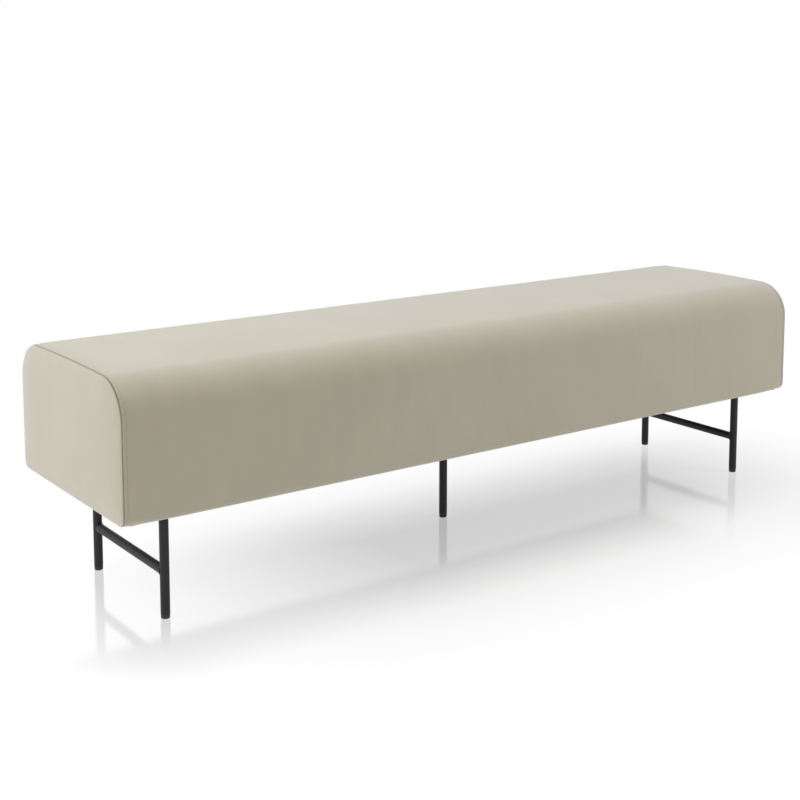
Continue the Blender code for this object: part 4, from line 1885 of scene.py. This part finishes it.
@dataclass(frozen=True)
class Patch:
    """A rectangle on the floor, and what distances from it along the bench are multiplied by."""

    middle: Pair
    half: Pair
    squeeze: float = 1.0

    def away(self, recipe: Recipe) -> Socket:
        """How far a place on the floor is from the rectangle.

        Args:
            recipe: the material in the making.

        Returns:
            The distance.
        """
        squares = []
        for part, middle, half, weight in zip(
            recipe.parts(), self.middle, self.half, (self.squeeze, 1.0)
        ):
            off = recipe.maths("ABSOLUTE", recipe.maths("SUBTRACT", part, middle))
            beyond = recipe.maths("MAXIMUM", recipe.maths("SUBTRACT", off, half), 0.0)
            squares.append(recipe.maths("POWER", recipe.maths("MULTIPLY", beyond, weight), 2.0))
        return recipe.maths("SQRT", recipe.maths("ADD", *squares))


@dataclass(frozen=True)
class Floor:
    """A pale glossy floor that keeps the bench's shadow and fades to white further out.

    Gloss, whiteness and mirroring are read over the distance from the patch before them.
    """

    half_side: float = 14.0
    colour: Point = (0.97, 0.965, 0.965)
    wisps: Pattern = cloud(240.0)
    polish: float = 0.10
    roughness: Ramp = Ramp(0.3, 0.7, 0.09, 0.11)
    bench: Patch = Patch((0.0, 0.0), (0.80, 0.16))
    gloss: Ramp = Ramp(0.0, 0.42, 0.36, 0.0)
    # Painted light: less white glow is mixed in near this rectangle, where the bench's shadow
    # falls, so the glow lightens the rendered shadow and sets where it fades out
    shadow: Patch = Patch((0.17, -0.13), (0.37, 0.10), 0.65)
    whiteness: Ramp = Ramp(0.0, 0.40, 0.46, 1.0)
    legs: Patch = Patch((-0.08, 0.0), (0.68, 0.16), 1.2)
    mirroring: Ramp = Ramp(0.0, 0.24, 0.34, 0.0)

    def make_material(self) -> Material:
        """Build the floor's material.

        Returns:
            The material.
        """
        material = bpy.data.materials.new("pale_floor")
        recipe = Recipe(material)
        near = recipe.tree.nodes["Principled BSDF"]
        recipe.feed(near, {
            "Base Color": self.colour,
            "Roughness": recipe.spread(self.wisps.read(recipe), self.roughness),
            "Specular IOR Level": recipe.spread(self.bench.away(recipe), self.gloss),
        })
        white = recipe.node("Emission", {"Color": WHITE, "Strength": 1.0})
        mirror = recipe.node("BsdfAnisotropic", {"Color": WHITE, "Roughness": self.polish})
        whiteness = recipe.spread(self.shadow.away(recipe), self.whiteness)
        mirroring = recipe.spread(self.legs.away(recipe), self.mirroring)
        share = recipe.maths("MULTIPLY", mirroring, whiteness)
        far = recipe.mix_shaders(share, white.outputs["Emission"], mirror.outputs["BSDF"])
        share = recipe.maths("MULTIPLY", recipe.seen(), whiteness)
        top = recipe.mix_shaders(share, near.outputs["BSDF"], far)
        below = recipe.node("NewGeometry").outputs["Backfacing"]
        clear = recipe.node("BsdfTransparent").outputs["BSDF"]
        surface = {"Surface": recipe.mix_shaders(below, top, clear)}
        recipe.feed(recipe.tree.nodes["Material Output"], surface)
        return material

    def build(self) -> None:
        """Lay the floor."""
        floor = start_from(bpy.ops.mesh.primitive_plane_add, size=2.0 * self.half_side)
        floor.name = "studio_floor"
        floor.data.materials.append(self.make_material())


@dataclass(frozen=True)
class Studio:
    """The camera at the photograph's place, soft lamps, a white background and the floor."""

    camera_place: Point = (-1.7713, -2.3004, 0.9879)
    yaw: float = 54.235
    pitch: float = -6.912
    frame_side: float = 800.0
    focal_pixels: float = 1390.1
    sensor: float = 36.0
    shift: float = -0.22
    ambient: float = 0.33
    middle: Point = (0.0, 0.0, 0.3)
    right_end: Point = (0.8, 0.0, 0.3)

    def build_camera(self) -> None:
        """Set up the camera."""
        data = bpy.data.cameras.new("photo_camera")
        data.sensor_width = self.sensor
        data.lens = self.focal_pixels / self.frame_side * self.sensor
        data.shift_y = self.shift
        camera = add_object("photo_camera", data)
        camera.location = self.camera_place
        yaw, pitch = math.radians(self.yaw), math.radians(self.pitch)
        level = math.cos(pitch)
        facing = Vector((math.cos(yaw) * level, math.sin(yaw) * level, math.sin(pitch)))
        camera.rotation_euler = facing.to_track_quat("-Z", "Y").to_euler()
        bpy.context.scene.camera = camera

    def build_world(self) -> None:
        """Make the background white to the camera and a plain soft light to the bench."""
        world = bpy.data.worlds.new("studio_world")
        recipe = Recipe(world)
        strength = recipe.spread(recipe.seen(), Ramp(0.0, 1.0, self.ambient, 1.0))
        recipe.feed(recipe.tree.nodes["Background"], {"Color": WHITE, "Strength": strength})
        bpy.context.scene.world = world

    def build(self) -> None:
        """Set up the whole studio."""
        self.build_camera()
        self.build_world()
        Floor().build()
        SoftLamp("overhead", (-0.6, 0.5, 2.8), self.middle, side=2.6, power=42.5).build()
        SoftLamp("left", (-3.6, 0.2, 1.6), self.middle, side=2.0, power=44.0).build()
        SoftLamp("right", (2.9, -2.6, 1.2), self.right_end, side=1.2, power=35.0).build()
        bpy.context.scene.view_settings.view_transform = "Standard"


def main() -> None:
    """Build the bench's looks and its studio."""
    logging.basicConfig(level=logging.INFO, format="%(message)s")
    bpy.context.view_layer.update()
    Upholstery(BlockForm.from_frame()).build()
    PlateScrews(ZINC_PLATE.make()).build()
    WeldBeads(replace(POWDER_COAT, name="weld_powder_coat").make()).build()
    KeptSolids().build()
    Studio().build()


if __name__ == "__main__":
    main()
